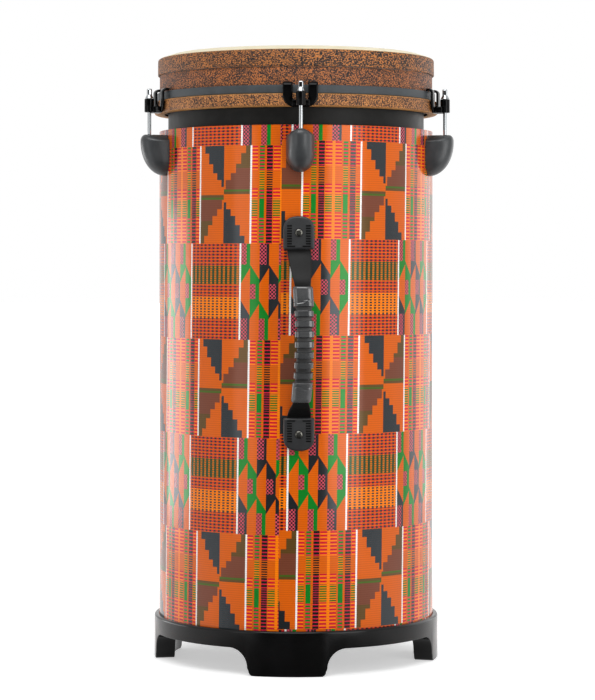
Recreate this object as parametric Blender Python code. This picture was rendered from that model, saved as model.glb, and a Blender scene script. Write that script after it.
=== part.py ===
# Floor-standing tubano: a hand drum with a head pulled down by five tension rods,
# a printed tube shell, a footed base with a ported baffle, and a carrying strap.
import math

import bmesh
import bpy
from mathutils import Matrix, Vector

for old in list(bpy.data.objects):
    bpy.data.objects.remove(old, do_unlink=True)

# Driving dimensions, in metres and radians

GAP = 0.0003                       # clearance between pieces that touch
SEGMENTS = 60                      # facets round the large rings
FASTENER_SIDES = 6                 # bolts, screws and their holes
ROD_SIDES = 12
INSERT_SIDES = 8
PORT_SEGMENTS = 30
GRIP_SIDES = 12
SLOT_SIDES = 12
BARREL_SIDES = 16

SHELL_RADIUS = 0.1573              # outside of the printed wrap
WRAP_WALL = 0.0006
SHELL_WALL = 0.0089
SHELL_TOP = 0.6015                 # upper edge of the shell above the floor
NECK_WALL = 0.0082
NECK_SHOW = 0.0197                 # bare neck between the shell and the head
NECK_TAIL = 0.0145                 # neck below the lugs, inside the shell
BEARING_ROUND = 0.003              # rounding of the neck's upper edge

BASE_OUTER_WALL = 0.0054
BASE_INNER_WALL = 0.006
BASE_BAND = 0.0194                 # ring above the arches
BASE_ROUND = 0.0024
SEAT_DEPTH = 0.0124                # how far the shell sinks into the base
PLATE_STEP = 0.0034                # inner wall below the base's top edge
FOOT_COUNT = 4
FOOT_HEIGHT = 0.030
FOOT_WIDTH = 0.086
FOOT_CORNER = 0.005
FOOT_FILLET = 0.022
FOOT_DRAFT = 0.0015
FOOT_TURN = math.radians(-5.2)     # feet against the front lug

BAFFLE_THICK = 0.012
PORT_RADIUS = 0.052
PORT_WALL = 0.004
PORT_LENGTH = 0.150
PORT_FLANGE = 0.006
PORT_FLANGE_THICK = 0.003

HEAD_CLEAR = 0.0038                # head ring round the neck
HEAD_RING_WALL = 0.005
FILM_THICK = 0.001
FILM_SKIRT = 0.0037
FILM_SKIRT_WALL = 0.0008
UPPER_BAND_WALL = 0.0027
UPPER_BAND = 0.0189
LOWER_BAND_WALL = 0.0006
LOWER_BAND = 0.0295
LIP_WALL = 0.0067
LIP_HEIGHT = 0.0142
LIP_ROUND = 0.0025
HOOP_WALL = 0.003
HOOP_HEIGHT = 0.0092

LUG_COUNT = 5
LUG_DROP = 0.0055                  # lug top below the shell's upper edge
LUG_HEIGHT = 0.0465
LUG_WIDTH = 0.031
LUG_NOSE = 0.006                   # lug wall outside the insert
LUG_TOP_ROUND = 0.007              # height of the rounding at the lug's top
LUG_TOP_DEPTH = 0.0054             # how far that rounding pulls the nose back
LUG_TOP_SIDE = 0.0042              # how far it pulls each side in
LUG_TAPER = 0.0195                 # height over which the sides close to the tip
LUG_SWEEP = 0.0381                 # height over which the nose sweeps back to the tip
LUG_SQUARENESS = 0.75              # exponent of the section, 1 for an ellipse
INSERT_RADIUS = 0.0034
INSERT_LENGTH = 0.024
BOLT_RADIUS = 0.0025
BOLT_HEAD = 0.0045
BOLT_HEAD_THICK = 0.003
BOLT_BITE = 0.0095                 # bolt length inside the lug
BOLT_LOW = 0.0125                  # bolt heights above the lug's lower end
BOLT_PITCH = 0.022

ROD_RADIUS = 0.0024
ROD_REACH = 0.0097                 # rod axis outside the claw plate
ROD_BITE = 0.023                   # rod length inside the lug
ROD_FLANGE = 0.0048
ROD_FLANGE_THICK = 0.002
ROD_SQUARE = 0.0058
ROD_SQUARE_HEIGHT = 0.0092

CLAW_PLATE = 0.003
CLAW_WIDTH = 0.038
CLAW_EAR = 0.0098
CLAW_BRIDGE = 0.008                # height of the bar that joins the ears
CLAW_DROP = 0.001                  # claw below the lip
CLAW_CORNER = 0.007
BARREL_WALL = 0.0028
BARREL_LENGTH = 0.0154
BARREL_RAISE = 0.0008              # barrel above the claw's lower edge

BASE_SCREW_RADIUS = 0.002
BASE_SCREW_HEAD = 0.004
BASE_SCREW_HEAD_THICK = 0.0025
BASE_SCREW_BITE = 0.003

HANDLE_MIDDLE = 0.3738             # height half way between the caps
HANDLE_TURN = math.radians(-0.6)   # handle against the front lug
HANDLE_SWAY = 0.0056               # sideways slack at the middle of the strap
GRIP_LENGTH = 0.126
GRIP_DROP = 0.0114                 # grip's middle below the handle's middle
GRIP_WIDTH = 0.0215
GRIP_THICK = 0.013
GRIP_ROUND = 0.004                 # taper at the grip's ends
GRIP_SQUARENESS = 0.6
GRIP_PLAIN = 0.0246                # grip end up to the first groove's middle
GROOVE_COUNT = 8
GROOVE_WIDTH = 0.0046
GROOVE_DEPTH = 0.0015
STRAP_THICK = 0.003
STRAP_WIDTH = 0.026                # strap where it leaves the cap
STRAP_NECK = 0.017                 # strap where it meets the grip
STRAP_TAIL = 0.011                 # strap beyond the screw
STRAP_RUN = 0.0284                 # free strap between cap and grip, mean of both legs
UPPER_RISE = 0.0197                # strap above the shell at the grip's upper end
LOWER_RISE = 0.0157                # and at its lower end
STRAP_CROWN = 0.008                # further rise at the grip's middle
CAP_FRONT = 0.018                  # cap from the screw towards the grip
CAP_BACK = 0.018                   # cap from the screw to its rounded end
CAP_WALL = 0.0037
CAP_ROOF = 0.0042
CAP_BEVEL = 0.002
CAP_SHOULDER = 0.016               # length of the cap's rounded end
CAP_SQUARENESS = 0.8
CAP_GROOVES = 8
CAP_GROOVE = 0.0014
CAP_GROOVE_PITCH = 0.003
CAP_GROOVE_LENGTH = 0.006
CAP_GROOVE_DEPTH = 0.0009
CAP_GROOVE_INSET = 0.002           # grooves from the cap's side
HANDLE_SCREW = 0.0025
HANDLE_SCREW_HEAD = 0.0042
HANDLE_SCREW_HEAD_THICK = 0.0022
NUT_RADIUS = 0.005
NUT_THICK = 0.004

# Sizes that follow from the driving dimensions

STEP = 2 * math.pi / SEGMENTS

wrap_inner = SHELL_RADIUS - WRAP_WALL
tube_outer = wrap_inner - GAP
tube_inner = tube_outer - SHELL_WALL
neck_outer = tube_inner - GAP
neck_inner = neck_outer - NECK_WALL

base_top = FOOT_HEIGHT + BASE_BAND
base_seat = base_top - SEAT_DEPTH
base_outer = SHELL_RADIUS + GAP + BASE_OUTER_WALL
base_groove = tube_inner - GAP
base_inner = base_groove - BASE_INNER_WALL
plate_seat = base_top - PLATE_STEP
shell_bottom = base_seat + GAP
plate_bottom = plate_seat + GAP
plate_top = plate_bottom + BAFFLE_THICK
port_bottom = plate_bottom - GAP - PORT_FLANGE_THICK

lip_bottom = SHELL_TOP + NECK_SHOW
lip_top = lip_bottom + LIP_HEIGHT
lower_band_bottom = lip_top + GAP
lower_band_top = lower_band_bottom + LOWER_BAND
upper_band_bottom = lower_band_top + GAP
upper_band_top = upper_band_bottom + UPPER_BAND
skirt_bottom = upper_band_top + GAP
film_under = skirt_bottom + FILM_SKIRT
film_top = film_under + FILM_THICK
ring_inner = neck_outer + HEAD_CLEAR
ring_outer = ring_inner + HEAD_RING_WALL
band_inner = ring_outer + GAP
skirt_outer = band_inner + FILM_SKIRT_WALL
lower_band_outer = band_inner + LOWER_BAND_WALL
upper_band_outer = band_inner + UPPER_BAND_WALL
lip_outer = band_inner + LIP_WALL
hoop_inner = lower_band_outer + GAP
hoop_outer = hoop_inner + HOOP_WALL
hoop_bottom = lip_top + GAP
hoop_top = hoop_bottom + HOOP_HEIGHT

claw_back = lip_outer + GAP
claw_bottom = lip_bottom - CLAW_DROP
rod_circle = claw_back + CLAW_PLATE + ROD_REACH
barrel_radius = ROD_RADIUS + GAP + BARREL_WALL
barrel_bottom = claw_bottom + BARREL_RAISE
barrel_top = barrel_bottom + BARREL_LENGTH
lug_top = SHELL_TOP - LUG_DROP
lug_bottom = lug_top - LUG_HEIGHT
lug_depth = rod_circle - SHELL_RADIUS + INSERT_RADIUS + GAP + LUG_NOSE
neck_bottom = lug_bottom - NECK_TAIL
bolt_heights = [lug_bottom + BOLT_LOW, lug_bottom + BOLT_LOW + BOLT_PITCH]
base_screw_height = (base_seat + plate_seat) / 2

strap_bed = SHELL_RADIUS + GAP
cap_roof_under = strap_bed + STRAP_THICK + GAP
cap_top = cap_roof_under + CAP_ROOF
cap_half = STRAP_WIDTH / 2 + GAP + CAP_WALL
grip_end = GRIP_LENGTH / 2
cap_edge = grip_end + GAP + STRAP_RUN
screw_offset = cap_edge + CAP_FRONT
grip_out = strap_bed + (STRAP_THICK + GRIP_THICK + UPPER_RISE + LOWER_RISE) / 2 + STRAP_CROWN

# The drum's axis stands behind the origin so that the outline is centred on it.
front_reach = max(SHELL_RADIUS + lug_depth, grip_out)
back_reach = max(base_outer, lip_outer)
AXIS_Y = (front_reach - back_reach) / 2


# Materials

def paint(name, colour, roughness, metallic=0.0):
    made = bpy.data.materials.new(name)
    made.use_nodes = True
    shader = made.node_tree.nodes["Principled BSDF"]
    shader.inputs["Base Color"].default_value = (*colour, 1.0)
    shader.inputs["Roughness"].default_value = roughness
    shader.inputs["Metallic"].default_value = metallic
    return made


# Shared modelling helpers

def place(name, bm, look, parent, turn=0.0, origin=(0.0, 0.0, 0.0)):
    # Closes the work on one piece: faces out, smooth round sides, its own node.
    bmesh.ops.remove_doubles(bm, verts=bm.verts, dist=1e-7)
    bmesh.ops.recalc_face_normals(bm, faces=bm.faces)
    mesh = bpy.data.meshes.new(name)
    bm.to_mesh(mesh)
    bm.free()
    mesh.materials.append(look)
    mesh.shade_smooth()
    mesh.set_sharp_from_angle(angle=math.radians(35))
    return stand(name, mesh, parent, turn, origin)


def stand(name, mesh, parent, turn=0.0, origin=(0.0, 0.0, 0.0)):
    made = bpy.data.objects.new(name, mesh)
    bpy.context.collection.objects.link(made)
    made.parent = parent
    made.location = origin
    made.rotation_euler = (0.0, 0.0, turn)
    return made


def pivot(name, parent, origin=(0.0, 0.0, 0.0), turn=0.0):
    made = bpy.data.objects.new(name, None)
    bpy.context.collection.objects.link(made)
    made.parent = parent
    made.location = origin
    made.rotation_euler = (0.0, 0.0, turn)
    return made


def turned(profile, segments=SEGMENTS):
    # Spins a closed outline of (radius, height) points about the Z axis.
    bm = bmesh.new()
    points = [bm.verts.new((radius, 0.0, height)) for radius, height in profile]
    edges = [bm.edges.new((a, b)) for a, b in zip(points, points[1:] + points[:1])]
    on_axis = [edge for edge in edges if all(v.co.x == 0.0 for v in edge.verts)]
    bmesh.ops.delete(bm, geom=on_axis, context="EDGES")
    bmesh.ops.spin(bm, geom=bm.verts[:] + bm.edges[:], cent=(0, 0, 0), axis=(0, 0, 1),
                   angle=2 * math.pi, steps=segments, use_merge=True)
    bmesh.ops.remove_doubles(bm, verts=bm.verts, dist=1e-7)
    bmesh.ops.recalc_face_normals(bm, faces=bm.faces)
    return bm


def skinned(loops, joined=False):
    # Covers a row of matching loops, capped at both ends or joined into a ring.
    bm = bmesh.new()
    rows = [[bm.verts.new(point) for point in loop] for loop in loops]
    pairs = list(zip(rows, rows[1:]))
    if joined:
        pairs.append((rows[-1], rows[0]))
    else:
        bm.faces.new(rows[0])
        bm.faces.new(rows[-1])
    for row, after in pairs:
        for i in range(len(row)):
            j = (i + 1) % len(row)
            bm.faces.new((row[i], row[j], after[j], after[i]))
    bmesh.ops.recalc_face_normals(bm, faces=bm.faces)
    return bm


def prism(outline, low, high):
    # Raises an outline of (x, z) points along the outward direction, from low to high.
    return skinned([[(x, -reach, z) for x, z in outline] for reach in (low, high)])


def strip(outline, half_width):
    # Sweeps an outline of (outward, z) points sideways.
    return skinned([[(x, -reach, z) for reach, z in outline] for x in (-half_width, half_width)])


def circle(radius, sides, turn=0.0):
    angles = [turn + 2 * math.pi * i / sides for i in range(sides)]
    return [(radius * math.cos(a), radius * math.sin(a)) for a in angles]


def radial(radius, low, high, height):
    # A six-sided bar pointing outward at the front of the drum.
    outline = [(x, height + z) for x, z in circle(radius, FASTENER_SIDES, math.pi / FASTENER_SIDES)]
    return prism(outline, low, high)


def turn_about_axis(bm, angle):
    bmesh.ops.rotate(bm, verts=bm.verts, cent=(0, 0, 0), matrix=Matrix.Rotation(angle, 3, "Z"))
    return bm


def gathered(shapes):
    # Puts separate shapes into one mesh.
    bm = bmesh.new()
    for shape in shapes:
        holder = bpy.data.meshes.new("gathered")
        shape.to_mesh(holder)
        shape.free()
        bm.from_mesh(holder)
        bpy.data.meshes.remove(holder)
    return bm


def combined(body, tool, operation):
    # Boolean of two meshes, baked into a new one.
    pieces = []
    for bm in (body, tool):
        bmesh.ops.recalc_face_normals(bm, faces=bm.faces)
        mesh = bpy.data.meshes.new("boolean")
        bm.to_mesh(mesh)
        bm.free()
        piece = bpy.data.objects.new("boolean", mesh)
        bpy.context.collection.objects.link(piece)
        pieces.append(piece)
    cut = pieces[0].modifiers.new("boolean", "BOOLEAN")
    cut.object = pieces[1]
    cut.operation = operation
    cut.solver = "EXACT"
    bpy.context.view_layer.update()
    shape = pieces[0].evaluated_get(bpy.context.evaluated_depsgraph_get())
    made = bmesh.new()
    made.from_mesh(shape.to_mesh())
    shape.to_mesh_clear()
    for piece in pieces:
        mesh = piece.data
        bpy.data.objects.remove(piece, do_unlink=True)
        bpy.data.meshes.remove(mesh)
    bmesh.ops.dissolve_degenerate(made, dist=1e-7, edges=made.edges)
    return made


def carved(body, tools):
    return combined(body, gathered(tools), "DIFFERENCE")


def fused(body, tool):
    return combined(body, tool, "UNION")


def fan(count):
    return [2 * math.pi * i / count for i in range(count)]


def flat_seat(bore, half_width):
    # Distance from the axis at which a flat head clears the inside of a faceted bore.
    return math.sqrt((bore * math.cos(STEP / 2)) ** 2 - half_width ** 2) - GAP


def shell_plug():
    # The shell's outside with its clearance, for cutting what sits on it.
    return turned([(0.0, 0.0), (SHELL_RADIUS + GAP, 0.0),
                   (SHELL_RADIUS + GAP, SHELL_TOP), (0.0, SHELL_TOP)])


# Fasteners: a hexagon head and a plain shank, both pointing outward

def headed_bar(shank, head, head_low, head_high, tip, height):
    loops = []
    for radius, reach in ((head, head_low), (head, head_high), (shank, head_high), (shank, tip)):
        ring = circle(radius, FASTENER_SIDES, math.pi / FASTENER_SIDES)
        loops.append([(x, -reach, height + z) for x, z in ring])
    return skinned(loops)


def lug_bolt_holes(low, high, clearance):
    tools = []
    for angle in fan(LUG_COUNT):
        for height in bolt_heights:
            bar = radial(BOLT_RADIUS + clearance, low, high, height)
            tools.append(turn_about_axis(bar, angle))
    return tools


def foot_angles():
    return [FOOT_TURN + angle for angle in fan(FOOT_COUNT)]


def base_screw_holes(low, high):
    tools = []
    for angle in foot_angles():
        bar = radial(BASE_SCREW_RADIUS + GAP, low, high, base_screw_height)
        tools.append(turn_about_axis(bar, angle))
    return tools


def handle_screw_heights():
    return [HANDLE_MIDDLE + screw_offset, HANDLE_MIDDLE - screw_offset]


def handle_screw_holes(low, high):
    tools = []
    for height in handle_screw_heights():
        bar = radial(HANDLE_SCREW + GAP, low, high, height)
        tools.append(turn_about_axis(bar, HANDLE_TURN))
    return tools


# Shell: the tube, its printed wrap, and the neck that carries the head

def wall_holes(low, high):
    holes = lug_bolt_holes(low, high, GAP) + handle_screw_holes(low, high)
    return holes + base_screw_holes(low, high)


def shell_tube():
    bm = turned([(tube_outer, shell_bottom), (tube_outer, SHELL_TOP),
                 (tube_inner, SHELL_TOP), (tube_inner, shell_bottom)])
    return carved(bm, wall_holes(neck_outer - SHELL_WALL, SHELL_RADIUS + SHELL_WALL))


def printed_wrap():
    bm = turned([(SHELL_RADIUS, shell_bottom), (SHELL_RADIUS, SHELL_TOP),
                 (wrap_inner, SHELL_TOP), (wrap_inner, shell_bottom)])
    return carved(bm, wall_holes(tube_inner, SHELL_RADIUS + SHELL_WALL))


def neck_ring():
    top = film_under - GAP
    middle = (neck_inner + neck_outer) / 2
    rounding = min(BEARING_ROUND, NECK_WALL / 2)
    bm = turned([(neck_outer, neck_bottom), (neck_outer, top - rounding),
                 (middle, top), (neck_inner, top - rounding), (neck_inner, neck_bottom)])
    return carved(bm, lug_bolt_holes(neck_inner - NECK_WALL, SHELL_RADIUS, GAP))


def baffle_plate():
    hole = PORT_RADIUS + GAP
    return turned([(neck_outer, plate_bottom), (neck_outer, plate_top),
                   (hole, plate_top), (hole, plate_bottom)])


def port_tube():
    bore = PORT_RADIUS - PORT_WALL
    flange = PORT_RADIUS + PORT_FLANGE
    seat = plate_bottom - GAP
    top = port_bottom + PORT_LENGTH
    return turned([(flange, port_bottom), (flange, seat), (PORT_RADIUS, seat),
                   (PORT_RADIUS, top), (bore, top), (bore, port_bottom)], PORT_SEGMENTS)


# Base: a channelled ring that the shell stands in, drawn down into four feet

def foot_side():
    # Half of one foot as (distance from its middle, height), floor to arch.
    half = FOOT_WIDTH / 2
    fillet = min(FOOT_FILLET, FOOT_HEIGHT - FOOT_CORNER)
    points = []
    for part in range(3):
        a = math.radians(-90 + 45 * part)
        points.append((half - FOOT_CORNER + FOOT_CORNER * math.cos(a),
                       FOOT_CORNER + FOOT_CORNER * math.sin(a)))
    for part in range(5):
        a = math.radians(180 - 22.5 * part)
        points.append((half + FOOT_DRAFT + fillet + fillet * math.cos(a),
                       FOOT_HEIGHT - fillet + fillet * math.sin(a)))
    return points


def base_stations():
    # Underside height of the base at each angle, measured from the front.
    side = foot_side()
    flat_end = side[0][0]
    arch_start = side[-1][0]
    stations = []
    for middle in foot_angles():
        for sign in (-1, 1):
            stations += [(middle + sign * run / base_outer, height) for run, height in side]
    outline = [angle for angle, height in stations]
    for k in range(SEGMENTS):
        angle = k * STEP
        runs = [abs(math.remainder(angle - middle, 2 * math.pi)) for middle in foot_angles()]
        run = min(runs) * base_outer
        nearest = min(abs(math.remainder(angle - other, 2 * math.pi)) for other in outline)
        if nearest > STEP / 8 and (run < flat_end or run > arch_start):
            stations.append((angle, 0.0 if run < flat_end else FOOT_HEIGHT))
    return sorted((angle % (2 * math.pi), height) for angle, height in stations)


def facet(angle):
    # Share of the radius at which the large rings' facets lie in this direction.
    return math.cos(STEP / 2) / math.cos(angle % STEP - STEP / 2)


def base_ring():
    channel = SHELL_RADIUS + GAP
    loops = []
    for angle, under in base_stations():
        section = [
            (base_outer, under), (base_outer, base_top - BASE_ROUND),
            (base_outer - BASE_ROUND, base_top), (channel, base_top), (channel, base_seat),
            (base_groove, base_seat), (base_groove, plate_seat), (base_inner, plate_seat),
            (base_inner, under),
        ]
        scale = facet(angle)
        east = math.sin(angle) * scale
        south = -math.cos(angle) * scale
        loops.append([(radius * east, radius * south, z) for radius, z in section])
    bm = skinned(loops, joined=True)
    tip = channel + BASE_SCREW_BITE + GAP
    return carved(bm, base_screw_holes(base_inner - BASE_INNER_WALL, tip))


def base_screw():
    head = flat_seat(base_inner, BASE_SCREW_HEAD)
    return headed_bar(BASE_SCREW_RADIUS, BASE_SCREW_HEAD, head - BASE_SCREW_HEAD_THICK, head,
                      SHELL_RADIUS + GAP + BASE_SCREW_BITE, base_screw_height)


# Head: film and its ring, the brown bands, the lip, and the hoop that pulls them down

def drumhead():
    rolled = FILM_THICK / 2
    return turned([(0.0, film_top), (skirt_outer - rolled, film_top),
                   (skirt_outer, film_top - rolled), (skirt_outer, skirt_bottom),
                   (band_inner, skirt_bottom), (band_inner, film_under), (0.0, film_under)])


def head_ring():
    top = film_under - GAP
    return turned([(ring_outer, lip_bottom), (ring_outer, top),
                   (ring_inner, top), (ring_inner, lip_bottom)])


def head_wrap_upper():
    ease = UPPER_BAND_WALL / 2
    return turned([(upper_band_outer, upper_band_bottom), (upper_band_outer, upper_band_top - ease),
                   (upper_band_outer - ease, upper_band_top), (band_inner, upper_band_top),
                   (band_inner, upper_band_bottom)])


def head_wrap_lower():
    return turned([(lower_band_outer, lower_band_bottom), (lower_band_outer, lower_band_top),
                   (band_inner, lower_band_top), (band_inner, lower_band_bottom)])


def flesh_hoop():
    ease = min(LIP_ROUND, LIP_HEIGHT / 2)
    return turned([(lip_outer - ease, lip_bottom), (lip_outer, lip_bottom + ease),
                   (lip_outer, lip_top), (band_inner, lip_top), (band_inner, lip_bottom)])


def counterhoop():
    return turned([(hoop_outer, hoop_bottom), (hoop_outer, hoop_top),
                   (hoop_inner, hoop_top), (hoop_inner, hoop_bottom)])


# Claw: a bent plate hooked over the hoop, cut to two ears, with a barrel for the rod

def claw_side():
    # The bent plate seen from the side, as (outward, height) points.
    hook = hoop_outer + GAP
    crest = hoop_top + GAP
    shoulder = hoop_bottom
    elbow = lip_top
    ease = CLAW_PLATE / 2
    return [
        (hoop_inner + GAP, crest), (hoop_inner + GAP, crest + CLAW_PLATE),
        (hook + CLAW_PLATE - ease, crest + CLAW_PLATE), (hook + CLAW_PLATE, crest + CLAW_PLATE - ease),
        (hook + CLAW_PLATE, shoulder + 2 * CLAW_PLATE), (claw_back + CLAW_PLATE, elbow + 2 * CLAW_PLATE),
        (claw_back + CLAW_PLATE, claw_bottom), (claw_back, claw_bottom),
        (claw_back, elbow + CLAW_PLATE), (hook, shoulder + CLAW_PLATE + GAP), (hook, crest),
    ]


def claw_front():
    # Two ears on a low bar, seen from the front, with rounded lower corners.
    half = CLAW_WIDTH / 2
    inner = half - CLAW_EAR
    top = hoop_top + GAP + 2 * CLAW_PLATE
    bridge = claw_bottom + CLAW_BRIDGE
    side = []
    for part in range(4):
        a = math.radians(-90 + 30 * part)
        side.append((half - CLAW_CORNER + CLAW_CORNER * math.cos(a),
                     claw_bottom + CLAW_CORNER + CLAW_CORNER * math.sin(a)))
    side += [(half, top), (inner, top), (inner, bridge)]
    return side + [(-x, z) for x, z in reversed(side)]


def claw():
    half = CLAW_WIDTH / 2
    inner = half - CLAW_EAR
    bm = combined(strip(claw_side(), half + CLAW_PLATE),
                  prism(claw_front(), hoop_inner - CLAW_PLATE, rod_circle), "INTERSECT")
    web_low = barrel_bottom - BARREL_RAISE / 2
    web_high = claw_bottom + CLAW_BRIDGE - BARREL_RAISE / 2
    web = strip([(claw_back + CLAW_PLATE / 2, web_low), (rod_circle, web_low),
                 (rod_circle, web_high), (claw_back + CLAW_PLATE / 2, web_high)], inner)
    bm = fused(bm, web)
    bm = fused(bm, upright(barrel_radius, barrel_bottom, barrel_top, BARREL_SIDES))
    return carved(bm, [upright(ROD_RADIUS + GAP, claw_bottom - BARREL_LENGTH,
                               barrel_top + BARREL_LENGTH, ROD_SIDES)])


def upright(radius, low, high, sides):
    # A round bar standing on the rod's axis at the front of the drum.
    ring = circle(radius, sides)
    return skinned([[(x, y - rod_circle, z) for x, y in ring] for z in (low, high)])


# Tension rod, modelled about its own axis

def tension_rod():
    tip = lug_top - ROD_BITE
    seat = barrel_top + GAP
    crown = seat + ROD_FLANGE_THICK
    top = crown + ROD_SQUARE_HEIGHT
    ease = ROD_RADIUS / 4
    loops = []
    for radius, z in ((ROD_RADIUS - ease, tip), (ROD_RADIUS, tip + ease), (ROD_RADIUS, seat),
                      (ROD_FLANGE, seat), (ROD_FLANGE, crown)):
        loops.append([(x, y, z) for x, y in circle(radius, ROD_SIDES)])
    for half, z in ((ROD_SQUARE / 2, crown), (ROD_SQUARE / 2, top - ease),
                    (ROD_SQUARE / 2 - ease, top)):
        loops.append([(x, y, z) for x, y in squared(half, ROD_SIDES)])
    return skinned(loops)


def squared(half, sides):
    # A square outline with as many points as a circle of that many sides.
    points = []
    for x, y in circle(1.0, sides):
        stretch = half / max(abs(x), abs(y))
        points.append((x * stretch, y * stretch))
    return points


# Lug: a bullet-shaped block bolted through the shell, with a threaded insert

def quarter_round(share):
    # Rises from 0 to 1 along a quarter circle and stays there.
    return math.sqrt(1 - (1 - min(max(share, 0.0), 1.0)) ** 2)


def lug_section(z):
    # Outline of the lug at one height, from side to side round its nose.
    swell = quarter_round((z - lug_bottom) / LUG_TAPER)
    bulge = quarter_round((z - lug_bottom) / LUG_SWEEP)
    shrink = 1 - quarter_round((lug_top - z) / LUG_TOP_ROUND)
    half = LUG_WIDTH / 2 * swell - LUG_TOP_SIDE * shrink
    depth = lug_depth * bulge - LUG_TOP_DEPTH * shrink
    root = SHELL_RADIUS - WRAP_WALL - SHELL_WALL / 2
    points = [(half, -root, z)]
    for part in range(7):
        a = math.pi * part / 6
        x = half * math.copysign(abs(math.cos(a)) ** LUG_SQUARENESS, math.cos(a))
        points.append((x, -SHELL_RADIUS - depth * math.sin(a) ** LUG_SQUARENESS, z))
    points.append((-half, -root, z))
    return points


def lug():
    heights = [lug_bottom + LUG_TAPER * share for share in (0.05, 0.2, 0.5, 1.0)]
    heights += [lug_bottom + (LUG_TAPER + LUG_SWEEP) / 2, lug_bottom + LUG_SWEEP]
    heights += [lug_top - LUG_TOP_ROUND * share for share in (0.6, 0.2, 0.0)]
    bm = skinned([lug_section(z) for z in heights])
    bm = carved(bm, [shell_plug()])
    tip = SHELL_RADIUS + BOLT_BITE + GAP
    tools = [radial(BOLT_RADIUS + GAP, tube_inner, tip, height) for height in bolt_heights]
    tools.append(upright(INSERT_RADIUS + GAP, lug_top - INSERT_LENGTH - GAP,
                         lug_top + LUG_DROP, INSERT_SIDES))
    return carved(bm, tools)


def lug_insert():
    bore = ROD_RADIUS + GAP
    low = lug_top - INSERT_LENGTH
    bm = turned([(INSERT_RADIUS, low), (INSERT_RADIUS, lug_top - GAP),
                 (bore, lug_top - GAP), (bore, low)], INSERT_SIDES)
    bmesh.ops.translate(bm, verts=bm.verts, vec=(0.0, -rod_circle, 0.0))
    return bm


def lug_bolt(height):
    head = flat_seat(neck_inner, BOLT_HEAD)
    return headed_bar(BOLT_RADIUS, BOLT_HEAD, head - BOLT_HEAD_THICK, head,
                      SHELL_RADIUS + BOLT_BITE, height)


# Handle: caps screwed to the shell, a strap that slides in them, and a ribbed grip

def leg_start(side):
    # Where a strap leg leaves the grip, as a distance from the handle's middle.
    return grip_end + GAP - math.copysign(GRIP_DROP, side)


def strap_line(z):
    # Middle of the strap at a height above the handle's middle: sideways, outward.
    along = z + GRIP_DROP
    if abs(along) < grip_end:
        lean = (UPPER_RISE + LOWER_RISE + (UPPER_RISE - LOWER_RISE) * along / grip_end) / 2
        rise = lean + STRAP_CROWN * math.cos(math.pi * along / GRIP_LENGTH) ** 2
    else:
        start = leg_start(along)
        share = min(max((cap_edge - abs(z)) / (cap_edge - start), 0.0), 1.0)
        rise = (UPPER_RISE if along > 0 else LOWER_RISE) * share * share * (3 - 2 * share)
    sway = HANDLE_SWAY * max(0.0, 1 - (z / cap_edge) ** 2)
    return sway, strap_bed + STRAP_THICK / 2 + rise


def strap_frame(z):
    # Point on the strap's middle and the outward normal there, in the side view.
    tiny = STRAP_THICK / 100
    sway, out = strap_line(z)
    slope = (strap_line(z + tiny)[1] - strap_line(z - tiny)[1]) / (2 * tiny)
    length = math.hypot(1.0, slope)
    return Vector((sway, -out, HANDLE_MIDDLE + z)), Vector((0.0, -1.0 / length, -slope / length))


def strap_leg(side):
    loops = []
    steps = 8
    start = leg_start(side)
    runs = [start + (cap_edge - start) * i / steps for i in range(steps + 1)]
    runs.append(screw_offset + STRAP_TAIL)
    for run in runs:
        point, normal = strap_frame(side * run)
        share = min((run - start) / (cap_edge - start), 1.0)
        half = (STRAP_NECK + (STRAP_WIDTH - STRAP_NECK) * math.sin(math.pi / 2 * share)) / 2
        lift = normal * STRAP_THICK / 2
        across = Vector((half, 0.0, 0.0))
        loops.append([point - across - lift, point + across - lift,
                      point + across + lift, point - across + lift])
    screw = HANDLE_MIDDLE + side * screw_offset
    slot = []
    for x, z in circle(HANDLE_SCREW + GAP, SLOT_SIDES, math.pi / SLOT_SIDES):
        slide = side * STRAP_TAIL / 2 if z * side > 0 else 0.0
        slot.append((x, screw + z + slide))
    return carved(skinned(loops), [prism(slot, SHELL_RADIUS - SHELL_WALL, cap_top)])


def grip_section(z, sunk):
    point, normal = strap_frame(z)
    loop = []
    for x, y in circle(1.0, GRIP_SIDES, math.pi / GRIP_SIDES):
        wide = math.copysign(abs(x) ** GRIP_SQUARENESS, x) * (GRIP_WIDTH / 2 - sunk)
        thick = math.copysign(abs(y) ** GRIP_SQUARENESS, y) * (GRIP_THICK / 2 - sunk)
        loop.append(point + Vector((wide, 0.0, 0.0)) + normal * thick)
    return loop


def handle_grip():
    loops = [(-grip_end, GROOVE_DEPTH * 1.5), (-grip_end + GRIP_ROUND, 0.0)]
    pitch = (GRIP_LENGTH - 2 * GRIP_PLAIN) / (GROOVE_COUNT - 1)
    for i in range(GROOVE_COUNT):
        middle = -grip_end + GRIP_PLAIN + i * pitch
        for run, depth in ((-0.5, 0.0), (-0.3, GROOVE_DEPTH), (0.3, GROOVE_DEPTH), (0.5, 0.0)):
            loops.append((middle + run * GROOVE_WIDTH, depth))
    loops += [(grip_end - GRIP_ROUND, 0.0), (grip_end, GROOVE_DEPTH * 1.5)]
    return skinned([grip_section(z - GRIP_DROP, depth) for z, depth in loops])


def cap_outline(side, inset):
    # The cap from the front: square towards the grip, rounded at its far end.
    half = cap_half - inset
    points = [(-half, -CAP_FRONT + inset), (half, -CAP_FRONT + inset)]
    shoulder = CAP_BACK - CAP_SHOULDER
    for part in range(9):
        a = math.pi * part / 8
        x = half * math.copysign(abs(math.cos(a)) ** CAP_SQUARENESS, math.cos(a))
        points.append((x, shoulder + (CAP_SHOULDER - inset) * math.sin(a) ** CAP_SQUARENESS))
    screw = HANDLE_MIDDLE + side * screw_offset
    return [(x, screw + side * z) for x, z in points]


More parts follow.
